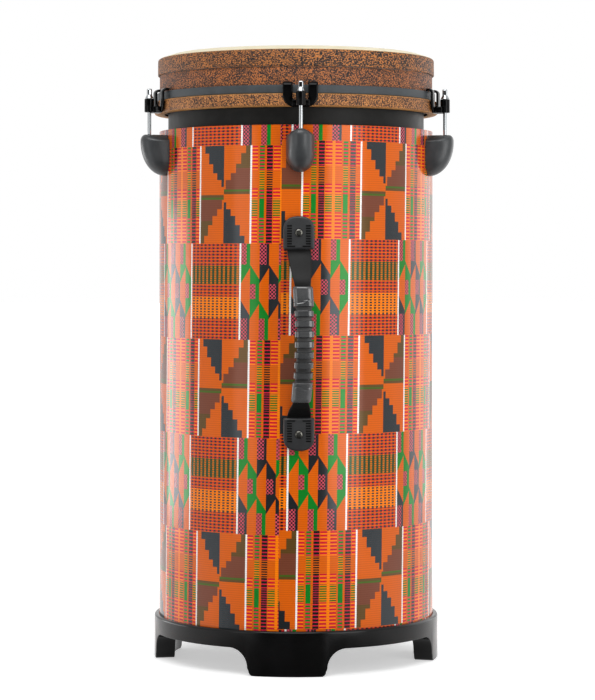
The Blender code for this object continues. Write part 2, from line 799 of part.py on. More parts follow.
def handle_cap(side):
    levels = [(tube_inner, 0.0), (cap_top - CAP_BEVEL, 0.0), (cap_top, CAP_BEVEL)]
    bm = skinned([[(x, -reach, z) for x, z in cap_outline(side, inset)] for reach, inset in levels])
    bm = carved(bm, [shell_plug()])
    screw = HANDLE_MIDDLE + side * screw_offset
    half = STRAP_WIDTH / 2 + GAP
    ends = (screw + side * (STRAP_TAIL + GAP), screw - side * (CAP_FRONT + GAP))
    pocket = [(-half, ends[0]), (half, ends[0]), (half, ends[1]), (-half, ends[1])]
    bm = carved(bm, [prism(pocket, tube_inner - SHELL_WALL, cap_roof_under)])
    tools = [radial(HANDLE_SCREW + GAP, strap_bed, cap_top + CAP_ROOF, screw)]
    return carved(bm, tools + cap_grooves(side, screw))


def cap_grooves(side, screw):
    # Short grooves in a row along both sides of the cap's face.
    outer = cap_half - CAP_BEVEL - CAP_GROOVE_INSET
    tools = []
    for i in range(CAP_GROOVES):
        low = screw - side * (CAP_FRONT - CAP_BEVEL - CAP_GROOVE_INSET) + side * i * CAP_GROOVE_PITCH
        for sign in (-1, 1):
            ends = (sign * outer, sign * (outer - CAP_GROOVE_LENGTH))
            box = [(ends[0], low), (ends[1], low),
                   (ends[1], low + side * CAP_GROOVE), (ends[0], low + side * CAP_GROOVE)]
            tools.append(prism(box, cap_top - CAP_GROOVE_DEPTH, cap_top + CAP_ROOF))
    return tools


def handle_screw(height):
    seat = cap_top + GAP
    tip = flat_seat(tube_inner, NUT_RADIUS) - NUT_THICK - GAP
    return headed_bar(HANDLE_SCREW, HANDLE_SCREW_HEAD, seat + HANDLE_SCREW_HEAD_THICK, seat,
                      tip, height)


def handle_nut(height):
    seat = flat_seat(tube_inner, NUT_RADIUS)
    bm = radial(NUT_RADIUS, seat - NUT_THICK, seat, height)
    return carved(bm, [radial(HANDLE_SCREW + GAP, seat - 2 * NUT_THICK, seat + NUT_THICK, height)])


# Looks of the solids

printed_film = paint("printed_film", (0.72, 0.16, 0.015), 0.35)
fibre_tube = paint("fibre_tube", (0.16, 0.10, 0.06), 0.8)
black_neck = paint("black_neck_paint", (0.017, 0.017, 0.017), 0.45)
black_plastic = paint("black_moulded_plastic", (0.012, 0.012, 0.013), 0.38)
baffle_board = paint("baffle_board", (0.05, 0.045, 0.04), 0.8)
port_plastic = paint("port_plastic", (0.02, 0.02, 0.02), 0.5)
cream_film = paint("cream_film", (0.84, 0.78, 0.66), 0.5)
white_ring = paint("white_head_ring", (0.8, 0.8, 0.8), 0.5)
brown_band = paint("brown_grained_band", (0.19, 0.07, 0.025), 0.6)
brown_seam = paint("brown_lower_band", (0.17, 0.065, 0.025), 0.6)
brown_lip = paint("brown_lip", (0.36, 0.16, 0.05), 0.6)
slate_hoop = paint("slate_hoop_paint", (0.045, 0.051, 0.056), 0.55)
black_enamel = paint("black_enamel", (0.006, 0.006, 0.007), 0.12)
chrome = paint("chrome", (0.8, 0.8, 0.8), 0.12, 1.0)
lug_rubber = paint("lug_rubber", (0.02, 0.02, 0.021), 0.42)
black_zinc = paint("black_zinc", (0.03, 0.03, 0.03), 0.35, 1.0)
zinc_steel = paint("zinc_steel", (0.55, 0.56, 0.58), 0.3, 1.0)
strap_vinyl = paint("strap_vinyl", (0.015, 0.015, 0.016), 0.55)
grip_rubber = paint("grip_rubber", (0.03, 0.03, 0.032), 0.4)
cap_nylon = paint("cap_nylon", (0.01, 0.01, 0.011), 0.5)

# Assembly

drum = pivot("drum", None, (0.0, AXIS_Y, 0.0))
head = pivot("head", drum)
handle = pivot("handle", drum, turn=HANDLE_TURN)

place("shell_tube", shell_tube(), fibre_tube, drum)
place("printed_wrap", printed_wrap(), printed_film, drum)
place("neck_ring", neck_ring(), black_neck, drum)
place("baffle_plate", baffle_plate(), baffle_board, drum)
place("port_tube", port_tube(), port_plastic, drum)
place("base_ring", base_ring(), black_plastic, drum)

first = place("base_screw_1", base_screw(), zinc_steel, drum, foot_angles()[0])
for number, angle in enumerate(foot_angles()[1:], 2):
    stand(f"base_screw_{number}", first.data, drum, angle)

place("drumhead", drumhead(), cream_film, head)
place("head_ring", head_ring(), white_ring, head)
place("head_wrap_upper", head_wrap_upper(), brown_band, head)
place("head_wrap_lower", head_wrap_lower(), brown_seam, head)
place("flesh_hoop", flesh_hoop(), brown_lip, head)
place("counterhoop", counterhoop(), slate_hoop, head)

repeats = [
    ("lug", lug(), lug_rubber, drum),
    ("lug_insert", lug_insert(), black_zinc, drum),
    ("lug_bolt_lower", lug_bolt(bolt_heights[0]), zinc_steel, drum),
    ("lug_bolt_upper", lug_bolt(bolt_heights[1]), zinc_steel, drum),
    ("claw", claw(), black_enamel, head),
]
for name, shape, look, parent in repeats:
    first = place(f"{name}_1", shape, look, parent)
    for number, angle in enumerate(fan(LUG_COUNT)[1:], 2):
        stand(f"{name}_{number}", first.data, parent, angle)

first = place("tension_rod_1", tension_rod(), chrome, head, 0.0, (0.0, -rod_circle, 0.0))
for number, angle in enumerate(fan(LUG_COUNT)[1:], 2):
    foot = (rod_circle * math.sin(angle), -rod_circle * math.cos(angle), 0.0)
    stand(f"tension_rod_{number}", first.data, head, angle, foot)

place("handle_grip", handle_grip(), grip_rubber, handle)
for word, side in (("upper", 1), ("lower", -1)):
    height = HANDLE_MIDDLE + side * screw_offset
    place(f"handle_cap_{word}", handle_cap(side), cap_nylon, handle)
    place(f"handle_strap_{word}", strap_leg(side), strap_vinyl, handle)
    place(f"handle_screw_{word}", handle_screw(height), zinc_steel, handle)
    place(f"handle_nut_{word}", handle_nut(height), zinc_steel, handle)
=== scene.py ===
import math

import bmesh
import bpy
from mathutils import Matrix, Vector, noise


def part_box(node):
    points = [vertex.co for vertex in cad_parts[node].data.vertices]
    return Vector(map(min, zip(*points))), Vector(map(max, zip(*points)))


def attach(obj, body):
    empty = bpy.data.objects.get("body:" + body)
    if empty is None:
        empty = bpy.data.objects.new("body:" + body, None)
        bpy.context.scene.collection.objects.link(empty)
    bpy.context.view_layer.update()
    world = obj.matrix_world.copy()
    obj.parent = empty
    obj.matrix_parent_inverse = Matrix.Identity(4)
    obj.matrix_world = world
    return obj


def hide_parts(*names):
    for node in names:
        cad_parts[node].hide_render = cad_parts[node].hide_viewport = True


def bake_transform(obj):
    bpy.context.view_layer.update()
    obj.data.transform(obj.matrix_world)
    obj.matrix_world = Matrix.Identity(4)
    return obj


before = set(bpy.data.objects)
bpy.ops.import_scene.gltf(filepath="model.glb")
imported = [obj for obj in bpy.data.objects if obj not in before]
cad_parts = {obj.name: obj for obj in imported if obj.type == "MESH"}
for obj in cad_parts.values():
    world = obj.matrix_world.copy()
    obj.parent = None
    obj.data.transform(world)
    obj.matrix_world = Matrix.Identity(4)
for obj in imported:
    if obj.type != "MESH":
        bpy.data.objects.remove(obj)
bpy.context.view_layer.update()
axisY = (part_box("neck_ring")[0].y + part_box("neck_ring")[1].y) / 2  # drum axis, behind the origin
fullTurn = 2 * math.pi
print("frame loaded, axis at", round(axisY, 5))


def linear(code):
    # sRGB hex to the linear colour that shaders take
    parts = [int(code[i:i + 2], 16) / 255 for i in (1, 3, 5)]
    return tuple(c / 12.92 if c <= 0.04045 else ((c + 0.055) / 1.055) ** 2.4 for c in parts) + (1.0,)


def outOf(source):
    # a node stands for its first live output
    if isinstance(source, bpy.types.Node):
        return next(socket for socket in source.outputs if socket.enabled)
    return source


def addNode(tree, kind, links=None, stops=(), **settings):
    # links gives each input a node, a socket or a plain value
    made = tree.nodes.new(kind)
    for key, value in settings.items():
        setattr(made, key, value)
    for key, value in (links or {}).items():
        value = outOf(value)
        if isinstance(value, bpy.types.NodeSocket):
            tree.links.new(value, made.inputs[key])
        else:
            made.inputs[key].default_value = value
    if stops:
        ramp = made.color_ramp
        for at, colour in stops[2:]:
            ramp.elements.new(at)
        for step, (at, colour) in zip(ramp.elements, stops):
            step.position = at
            step.color = linear(colour) if isinstance(colour, str) else (colour, colour, colour, 1.0)
    return made


def startMaterial(name, **sockets):
    made = bpy.data.materials.new(name)
    made.use_nodes = True
    shader = made.node_tree.nodes["Principled BSDF"]
    for key, value in sockets.items():
        shader.inputs[key.replace("_", " ")].default_value = value
    return made, made.node_tree, shader


def wire(tree, shader, **sources):
    for key, source in sources.items():
        tree.links.new(outOf(source), shader.inputs[key.replace("_", " ")])


def grained(name, dark, light, grain, roughness, relief, paintedShade=None, **sockets):
    # two close colours in clouds 25 grains wide, uneven sheen and a fine relief, with the grain in mm
    # the argument after relief names an attribute, and the colour and roughness of the painted shade laid
    # where it is 1
    made, tree, shader = startMaterial(name, **sockets)
    where = addNode(tree, "ShaderNodeTexCoord").outputs["Object"]
    grit = addNode(tree, "ShaderNodeTexNoise", {"Vector": where, "Scale": 1000 / grain, "Detail": 3.0})
    cloud = addNode(tree, "ShaderNodeTexNoise", {"Vector": where, "Scale": 1000 / (grain * 25),
                                                 "Detail": 2.0})
    both = addNode(tree, "ShaderNodeMath", {0: grit, 1: cloud}, operation="MULTIPLY")
    colour = addNode(tree, "ShaderNodeValToRGB", {0: both}, stops=((0.15, dark), (0.4, light)))
    sheen = addNode(tree, "ShaderNodeMapRange", {0: cloud, 1: 0.3, 2: 0.7, 3: roughness - 0.04,
                                                 4: roughness + 0.05})
    bump = addNode(tree, "ShaderNodeBump", {"Height": grit, "Strength": relief, "Distance": grain / 2000})
    # painted shade: the colour darkens and the sheen dulls where the attribute is 1
    if paintedShade:
        attribute, shade, dull = paintedShade
        sunk = addNode(tree, "ShaderNodeAttribute", attribute_name=attribute).outputs["Fac"]
        colour = addNode(tree, "ShaderNodeMix", {0: sunk, 6: colour, 7: linear(shade)}, data_type="RGBA")
        sheen = addNode(tree, "ShaderNodeMix", {0: sunk, 2: sheen, 3: dull})
    wire(tree, shader, Base_Color=colour, Roughness=sheen, Normal=bump)
    return made


def spot(x, out, z, turn=0.0):
    # mm to metres: x to the right, out from the drum axis towards the front, z up, then swung about the axis
    c, s = math.cos(turn), math.sin(turn)
    return ((x * c + out * s) / 1000, axisY + (x * s - out * c) / 1000, z / 1000)


def linked(name, data):
    made = bpy.data.objects.new(name, data)
    bpy.context.scene.collection.objects.link(made)
    return made


# camera, in mm, set from the photograph's frame of 595 x 700
cameraSet = {"distance": 2814, "height": 443, "turn": math.radians(1.7), "lens": 125.4,
             "aside": 1.5 / 700, "drop": -80 / 700}
lens = bpy.data.cameras.new("photoLens")
lens.lens = cameraSet["lens"]
lens.shift_x = cameraSet["aside"]
lens.shift_y = cameraSet["drop"]
eye = linked("photoCamera", lens)
eye.location = spot(0, cameraSet["distance"], cameraSet["height"], -cameraSet["turn"])
eye.rotation_euler = (math.radians(90), 0.0, -cameraSet["turn"])
bpy.context.scene.camera = eye
bpy.context.scene.view_settings.view_transform = "Standard"
print("camera placed")

# studio: white behind, dark in front, tall soft boxes left and right, bright side walls, a lamp overhead
studio = {
    "lamps": (  # name, degrees from the camera, distance and height in mm, panel's sides in m, radiance
        ("rightBox", 39.5, 1800, 600, 0.92, 1.3, 3.1), ("rightGlow", 36, 1790, 280, 0.80, 0.55, 0.9),
        ("frontGlow", 0, 1800, 460, 1.3, 0.6, 0.35), ("leftBox", -40.5, 1800, 330, 0.62, 0.8, 1.6),
        ("leftWall", -113.5, 1700, 130, 1.1, 0.85, 3.6), ("rightWall", 124, 1700, 400, 1.3, 1.6, 1.1),
        ("overhead", -8, 1500, 2200, 1.8, 1.4, 4.6)),
    "aimHeight": 0.38,  # m
    "roomFront": 0.03, "roomBack": 0.95, "turnsWhite": (-0.25, 0.35), "mirrorsWhite": (-0.97, -0.35),
    "floorSize": 30.0, "floorGlow": (0.45, 0.5, 1.1, 1.0),  # distance in m and strength, near and far
    "floorDark": "#303030", "floorPale": "#e6e6e6",
}
for name, around, away, height, wide, tall, radiance in studio["lamps"]:
    lamp = bpy.data.lights.new(name, "AREA")
    lamp.shape = "RECTANGLE"
    lamp.size = wide
    lamp.size_y = tall
    lamp.energy = radiance * wide * tall * math.pi  # watts that give this radiance
    holder = linked(name, lamp)
    holder.location = spot(0, away, height, math.radians(around) - cameraSet["turn"])
    aim = Vector((0.0, axisY, studio["aimHeight"])) - holder.location
    holder.rotation_euler = aim.to_track_quat("-Z", "Y").to_euler()
    holder.visible_camera = False


def raysIn(tree, backward):
    # camera rays, mirrored rays that find this direction white, all mirrored rays, and how white it is
    seen = addNode(tree, "ShaderNodeLightPath").outputs
    mirrored = addNode(tree, "ShaderNodeMath", {0: seen["Is Glossy Ray"], 1: seen["Is Transmission Ray"]},
                       operation="MAXIMUM")
    start, end = studio["mirrorsWhite"]
    white = addNode(tree, "ShaderNodeMapRange", {0: backward, 1: start, 2: end},
                    interpolation_type="SMOOTHSTEP")
    both = addNode(tree, "ShaderNodeMath", {0: mirrored, 1: white}, operation="MULTIPLY")
    return seen["Is Camera Ray"], both, mirrored, white


world = bpy.data.worlds.new("whiteStudio")
bpy.context.scene.world = world
world.use_nodes = True
room = world.node_tree
heading = addNode(room, "ShaderNodeTexCoord").outputs["Generated"]
backward = addNode(room, "ShaderNodeSeparateXYZ", {0: heading}).outputs["Y"]
camera, both = raysIn(room, backward)[:2]
start, end = studio["turnsWhite"]
behind = addNode(room, "ShaderNodeMapRange", {0: backward, 1: start, 2: end}, interpolation_type="SMOOTHSTEP")
depth = addNode(room, "ShaderNodeMapRange", {0: behind, 3: studio["roomFront"], 4: studio["roomBack"]})
level = addNode(room, "ShaderNodeMath", {0: camera, 1: both}, operation="MAXIMUM")
level = addNode(room, "ShaderNodeMath", {0: level, 1: depth}, operation="MAXIMUM")
wire(room, room.nodes["Background"], Strength=level)
room.nodes["Background"].inputs["Color"].default_value = (1.0, 1.0, 1.0, 1.0)

# painted board: white all round with the shadow kept; in mirrors its front part lies in the dark room
paper, tree, shader = startMaterial("paintedFloorBoard", Roughness=0.7, Emission_Color=(1.0, 1.0, 1.0, 1.0))
where = addNode(tree, "ShaderNodeTexCoord").outputs["Object"]
ahead = addNode(tree, "ShaderNodeSeparateXYZ", {0: where}).outputs
flat = addNode(tree, "ShaderNodeCombineXYZ", {"X": ahead["X"], "Y": ahead["Y"]})
away = addNode(tree, "ShaderNodeVectorMath", {0: flat}, operation="LENGTH")
behind = addNode(tree, "ShaderNodeMath", {0: ahead["Y"], 1: away}, operation="DIVIDE")
camera, both, mirrored, white = raysIn(tree, behind)
pale = addNode(tree, "ShaderNodeMix", {0: mirrored, 2: 1.0, 3: white})
tint = addNode(tree, "ShaderNodeMix", {0: pale, 6: linear(studio["floorDark"]),
                                       7: linear(studio["floorPale"])}, data_type="RGBA")
near, low, far, high = studio["floorGlow"]
glow = addNode(tree, "ShaderNodeMapRange", {0: away, 1: near, 2: far, 3: low, 4: high})
glow = addNode(tree, "ShaderNodeMath", {0: glow, 1: camera}, operation="MULTIPLY")
glow = addNode(tree, "ShaderNodeMath", {0: both, 1: low, 2: glow}, operation="MULTIPLY_ADD")
wire(tree, shader, Base_Color=tint, Emission_Strength=glow)
reach = studio["floorSize"]
mesh = bpy.data.meshes.new("floor")
mesh.from_pydata([(-reach, -reach, 0), (reach, -reach, 0), (reach, reach, 0), (-reach, reach, 0)], [],
                 [(0, 1, 2, 3)])
mesh.materials.append(paper)
linked("floor", mesh)
print("studio set")


# shared shaping, in mm


def share(value):
    return min(max(value, 0.0), 1.0)


def smooth(value):
    value = share(value)
    return value * value * (3 - 2 * value)


def rounded(value):
    # height of a quarter circle
    return math.sqrt(1 - (1 - share(value)) ** 2)


def bulged(value, power):
    # signed power: below 1 it squares a circle up
    return math.copysign(abs(value) ** power, value)


def sweep(steps, span=math.pi / 2):
    return [span * k / steps for k in range(steps + 1)]


def turnsOf(count):
    return sweep(count, fullTurn)[:-1]


def spanOf(node):
    # lowest and highest point of a CAD node
    return tuple(corner.z * 1000 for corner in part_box(node))


def toMesh(name, bm):
    bmesh.ops.remove_doubles(bm, verts=bm.verts, dist=1e-7)
    bmesh.ops.delete(bm, geom=[edge for edge in bm.edges if not edge.link_faces], context="EDGES")
    bmesh.ops.recalc_face_normals(bm, faces=bm.faces)
    mesh = bpy.data.meshes.new(name)
    bm.to_mesh(mesh)
    bm.free()
    return mesh


def opened(*meshes):
    # one shape to work on from meshes, which go
    bm = bmesh.new()
    for mesh in meshes:
        bm.from_mesh(mesh)
        bpy.data.meshes.remove(mesh)
    return bm


def joinedUp(*shapes):
    return opened(*[toMesh("work", shape) for shape in shapes])


def baked(piece):
    # plain mesh of a piece with its modifiers; the piece itself goes with its old mesh
    graph = bpy.context.evaluated_depsgraph_get()
    mesh = bpy.data.meshes.new_from_object(piece.evaluated_get(graph), depsgraph=graph)
    bpy.data.meshes.remove(piece.data)
    return mesh


def putOn(name, shape, finish, body, nodes, crease=35):
    # a finished mesh becomes a piece on its body, standing for its CAD nodes
    mesh = shape if isinstance(shape, bpy.types.Mesh) else toMesh(name, shape)
    mesh.materials.clear()
    mesh.materials.append(finish)
    mesh.shade_smooth()
    mesh.set_sharp_from_angle(angle=math.radians(crease))
    piece = linked(name, mesh)
    if body:
        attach(piece, body)
    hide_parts(*nodes)
    return piece


def skin(loops, joined=False):
    # faces over a row of matching loops, closed at both ends or joined into a ring
    bm = bmesh.new()
    rows = [[bm.verts.new(point) for point in loop] for loop in loops]
    pairs = list(zip(rows, rows[1:]))
    if joined:
        pairs.append((rows[-1], rows[0]))
    else:
        bm.faces.new(rows[0])
        bm.faces.new(rows[-1])
    for row, after in pairs:
        for i in range(len(row)):
            j = (i + 1) % len(row)
            bm.faces.new((row[i], row[j], after[j], after[i]))
    bmesh.ops.recalc_face_normals(bm, faces=bm.faces)
    return bm


def block(xs, outs, zs, turn=0.0):
    corners = [(xs[0], zs[0]), (xs[1], zs[0]), (xs[1], zs[1]), (xs[0], zs[1])]
    return skin([[spot(x, out, z, turn) for x, z in corners] for out in outs])


def cutBy(target, cutter):
    # Boolean difference of two shapes
    kept, blade = [linked("work", toMesh("work", shape)) for shape in (target, cutter)]
    knife = kept.modifiers.new("cut", "BOOLEAN")
    knife.object = blade
    knife.operation = "DIFFERENCE"
    knife.solver = "EXACT"
    bpy.context.view_layer.update()
    made = opened(baked(kept))
    bpy.data.meshes.remove(blade.data)
    return made


def eased(points, radii, steps=4):
    # closed outline with its corners rounded by tangent arcs
    made = []
    for i, (corner, radius) in enumerate(zip(points, radii)):
        here = Vector(corner)
        if not radius:
            made.append(tuple(here))
            continue
        back = (Vector(points[i - 1]) - here).normalized()
        ahead = (Vector(points[(i + 1) % len(points)]) - here).normalized()
        half = back.angle(ahead) / 2
        middle = here + (back + ahead).normalized() * radius / math.sin(half)
        run = radius / math.tan(half)
        first = here + back * run - middle
        last = here + ahead * run - middle
        for k in range(steps + 1):
            made.append(tuple(middle + first.slerp(last, k / steps) * radius))  # slerp gives unit length
    return made


def startTree(title, sockets):
    tree = bpy.data.node_groups.new(title, "GeometryNodeTree")
    for name, kind in sockets:
        tree.interface.new_socket(name, in_out="INPUT", socket_type="NodeSocket" + kind)
    tree.interface.new_socket("Geometry", in_out="OUTPUT", socket_type="NodeSocketGeometry")
    return tree, addNode(tree, "NodeGroupInput").outputs


def endTree(tree, whole, finish):
    whole = addNode(tree, "GeometryNodeRealizeInstances", {0: whole})
    whole = addNode(tree, "GeometryNodeSetMaterial", {"Geometry": whole, "Material": finish})
    addNode(tree, "NodeGroupOutput", {0: whole})


def grown(tree, shape, values):
    # plain mesh of what a tree makes from a start shape; inputs are set by their identifiers
    holder = linked("work", shape)
    tool = holder.modifiers.new("tree", "NODES")
    tool.node_group = tree
    for item in tree.interface.items_tree:
        if item.in_out == "INPUT" and item.name in values:
            tool[item.identifier] = values[item.name]
    return baked(holder)


# one tree turns a closed outline about the drum axis: the rows of a grid take its points, swung step by step
turnTree, given = startTree("outlineTurnedAboutAxis", (("Outline", "Geometry"), ("Points", "Int"),
                                                      ("Sides", "Int"), ("Finish", "Material")))
wide = addNode(turnTree, "ShaderNodeMath", {0: given["Sides"], 1: 1.0}, operation="ADD")
tall = addNode(turnTree, "ShaderNodeMath", {0: given["Points"], 1: 1.0}, operation="ADD")
grid = addNode(turnTree, "GeometryNodeMeshGrid", {"Vertices X": wide, "Vertices Y": tall})
number = addNode(turnTree, "GeometryNodeInputIndex")
column = addNode(turnTree, "ShaderNodeMath", {0: number, 1: tall}, operation="DIVIDE")
column = addNode(turnTree, "ShaderNodeMath", {0: column}, operation="FLOOR")
row = addNode(turnTree, "ShaderNodeMath", {0: number, 1: tall}, operation="FLOORED_MODULO")
row = addNode(turnTree, "ShaderNodeMath", {0: row, 1: given["Points"]}, operation="FLOORED_MODULO")
where = addNode(turnTree, "GeometryNodeInputPosition")
point = addNode(turnTree, "GeometryNodeSampleIndex", {"Geometry": given["Outline"], "Value": where,
                                                      "Index": row}, data_type="FLOAT_VECTOR")
swing = addNode(turnTree, "ShaderNodeMath", {0: column, 1: given["Sides"]}, operation="FLOORED_MODULO")
swing = addNode(turnTree, "ShaderNodeMath", {0: swing, 1: given["Sides"]}, operation="DIVIDE")
swing = addNode(turnTree, "ShaderNodeMath", {0: swing, 1: fullTurn}, operation="MULTIPLY")
swung = addNode(turnTree, "ShaderNodeVectorRotate", {"Vector": point, "Center": (0.0, axisY, 0.0),
                                                     "Angle": swing}, rotation_type="Z_AXIS")
whole = addNode(turnTree, "GeometryNodeSetPosition", {"Geometry": grid, "Position": swung})
whole = addNode(turnTree, "GeometryNodeMergeByDistance", {"Geometry": whole, "Distance": 1e-6})
endTree(turnTree, whole, given["Finish"])


def turnedRing(outline, finish, sides=180):
    # closed outline of (radius, height)
    shape = bpy.data.meshes.new("outline")
    shape.from_pydata([spot(0, r, z) for r, z in outline], [], [])
    return opened(grown(turnTree, shape, {"Points": len(outline), "Sides": sides, "Finish": finish}))


# one tree sets copies of a part round the drum axis
ringTree, given = startTree("partsRoundTheDrum", (("Part", "Object"), ("Copies", "Int"),
                                                  ("First Turn", "Float"), ("Spacing", "Float"),
                                                  ("Finish", "Material")))
spots = addNode(ringTree, "GeometryNodeMeshLine", {"Count": given["Copies"], "Offset": (0.0, 0.0, 0.0),
                                                   "Start Location": (0.0, axisY, 0.0)})
number = addNode(ringTree, "GeometryNodeInputIndex")
swing = addNode(ringTree, "ShaderNodeMath", {0: number, 1: given["Spacing"], 2: given["First Turn"]},
                operation="MULTIPLY_ADD")
swing = addNode(ringTree, "ShaderNodeCombineXYZ", {"Z": swing})
swing = addNode(ringTree, "FunctionNodeEulerToRotation", {0: swing})
part = addNode(ringTree, "GeometryNodeObjectInfo", {"Object": given["Part"], "As Instance": True})
copies = addNode(ringTree, "GeometryNodeInstanceOnPoints", {"Points": spots, "Rotation": swing,
                                                            "Instance": part.outputs["Geometry"]})
endTree(ringTree, copies, given["Finish"])
stations = 5  # lugs, rods and claws round the drum


def roundTheDrum(bm, finish, sets):
    # a part made at the front, copied about the axis: one plain mesh for each (copies, first station)
    bmesh.ops.translate(bm, verts=bm.verts, vec=(0.0, -axisY, 0.0))
    part = linked("pattern", toMesh("pattern", bm))
    spacing = fullTurn / stations
    made = []
    for copies, first in sets:
        values = {"Part": part, "Copies": copies, "First Turn": spacing * first, "Spacing": spacing}
        made.append(grown(ringTree, bpy.data.meshes.new("ring"), {**values, "Finish": finish}))
    bpy.data.meshes.remove(part.data)
    return made


def numbered(name):
    return [f"{name}_{i + 1}" for i in range(stations)]


# printed sheet: a strip-weave pattern on film, glued round the tube with one upright seam
sheet = {"radius": 157.3, "inner": 156.7, "low": 37.3, "high": 601.5, "sides": 300, "rows": 6,
         "easedEdge": 0.15, "seam": -15.9, "lean": 0.0073, "level": 525.0, "peel": 6.0,
         "glossTint": 0.5}  # share of an ink's saturation that the gloss over it takes on
# mm; a pair is the middle and the half width of a stretch, and heights in a row count down from its top
weave = {
    "repeat": 133.07, "lean": 0.0067, "slope": 0.0054, "rowBase": 371.7, "dotRows": 105.4, "stepRows": 107.4,
    "whiteLine": 1.0, "threadGap": 1.0, "threadShade": 0.16,
    "check": 2.0, "thread": 2.4,  # the real checks and threads are finer than the picture can show
    # barred stripes
    "stripesFrom": 22.55, "stripesWide": 67.25, "stripeSet": 36.0, "setFrom": 0.3, "barPitch": 3.85,
    "finePitch": 2.6, "bar": (1.5, 1.05), "heavyBar": (1.5, 1.3), "fineBar": (1.2, 0.75),
    "fineRows": ((37.05, 9.75), (68.25, 9.75)), "goldGap": (34.4, 1.6), "greenStripe": (12.2, 2.85),
    "redStripes": ((3.8, 3.8), (28.8, 4.0)), "blackStripe": (20.75, 3.35),
    "barRows": (0.0, 0.2542, 0.4358, 0.5447, 0.7263),  # shares of a row: coarse, fine, coarse, close, coarse
    "redInks": (("golden", "orange", "golden", "golden", "golden"), ("red", "orange", "red", "pine", "red")),
    "greenInks": (("pink", "golden", "pink", "green", "pink"), ("green", "pine", "green", "green", "green")),
    "blackInks": (("pink", "orange", "pink", "plum", "pink"), ("black",) * 5),
    # stepped blocks, in shares of a block
    "blockGap": 1.2,
    "stair": ((0.0, 0.088), (0.076, 0.178), (0.186, 0.268), (0.281, 0.358), (0.35, 0.448), (0.419, 1.0)),
    "farStair": ((0.0, 0.92), (0.076, 0.83), (0.186, 0.735), (0.281, 0.635), (0.35, 0.535), (0.443, 0.5)),
    "farInks": ((0.0, "olive"), (0.23, "brown"), (0.447, "moss"), (0.465, "olive"), (0.495, "orange")),
    # dotted blocks
    "dotColumn": 5.71, "firstDot": 4.3, "columnHalf": 1.15, "dotHalf": 1.5, "dotPitch": 3.51, "lineHalf": 0.7,
    "dotTall": 1.0, "closePitch": 2.95, "closeTall": 0.8, "hairPitch": 2.4, "hairTall": 0.4,
    "pineRow": (34.25, 10.25), "goldRow": (70.15, 11.95), "dotRowsAt": (0.0, 0.2277, 0.422, 0.552, 0.779),
    "groundInks": ("orange", "orange", "orange", "golden", "orange"),
    "lineInks": ("red", "pine", "red", "golden", "red"),
    "columnInks": ("rust", "bottle", "rust", "golden", "rust"),
    # long diamonds: rims are a slope across a band and a start
    "diamondsFrom": 11.15, "diamondsWide": 65.75, "bandFrom": 0.9, "band": 10.75, "turnsAt": 52.7,
    "middle": 52.5, "evenRims": ((-17.2, 43.9), (16.6, 62.0)), "oddRims": ((16.0, 23.0), (-17.0, 83.0)),
    "evenPanel": 29.4, "oddPanel": 8.2, "panelShare": (0.14, 0.6),
}
inks = {"orange": "#d45e04", "golden": "#f67e00", "slate": "#192023", "brown": "#6e3c29", "olive": "#58411c",
        "green": "#067a22", "moss": "#3f5c18", "pine": "#28661c", "red": "#c8082a", "rust": "#d8460a",
        "bottle": "#1d3d14", "pink": "#d01a3c", "rose": "#cb4a60", "black": "#0a1814", "plum": "#a31f3a",
        "white": "#f4f2ee", "shade": "#3a1404"}


def every(result, source, pitch, mark):
    # 1 on a mark in each pitch
    return (result, "FLOORED_MODULO", source, pitch), (result, "COMPARE", result, *mark)


def barred(result, bar, stretches, shares, grounds, overs):
    # bars of one row of inks on a ground of another
    return ((result, "ZONES", shares, *zip(stretches, grounds)),
            ("over", "ZONES", shares, *zip(stretches, overs)), (result, "INK", bar, result, "over"))


def bordered(result, unwrapped, wrapped, wide):
    # white lines where the blocks of a row meet
    line = weave["whiteLine"]
    return (("edge", "PINGPONG", unwrapped, weave["repeat"] / 2), ("edge", "LESS_THAN", "edge", line),
            ("also", "COMPARE", wrapped, wide, line), ("edge", "MAXIMUM", "edge", "also"),
            (result, "INK", "edge", result, "white"))


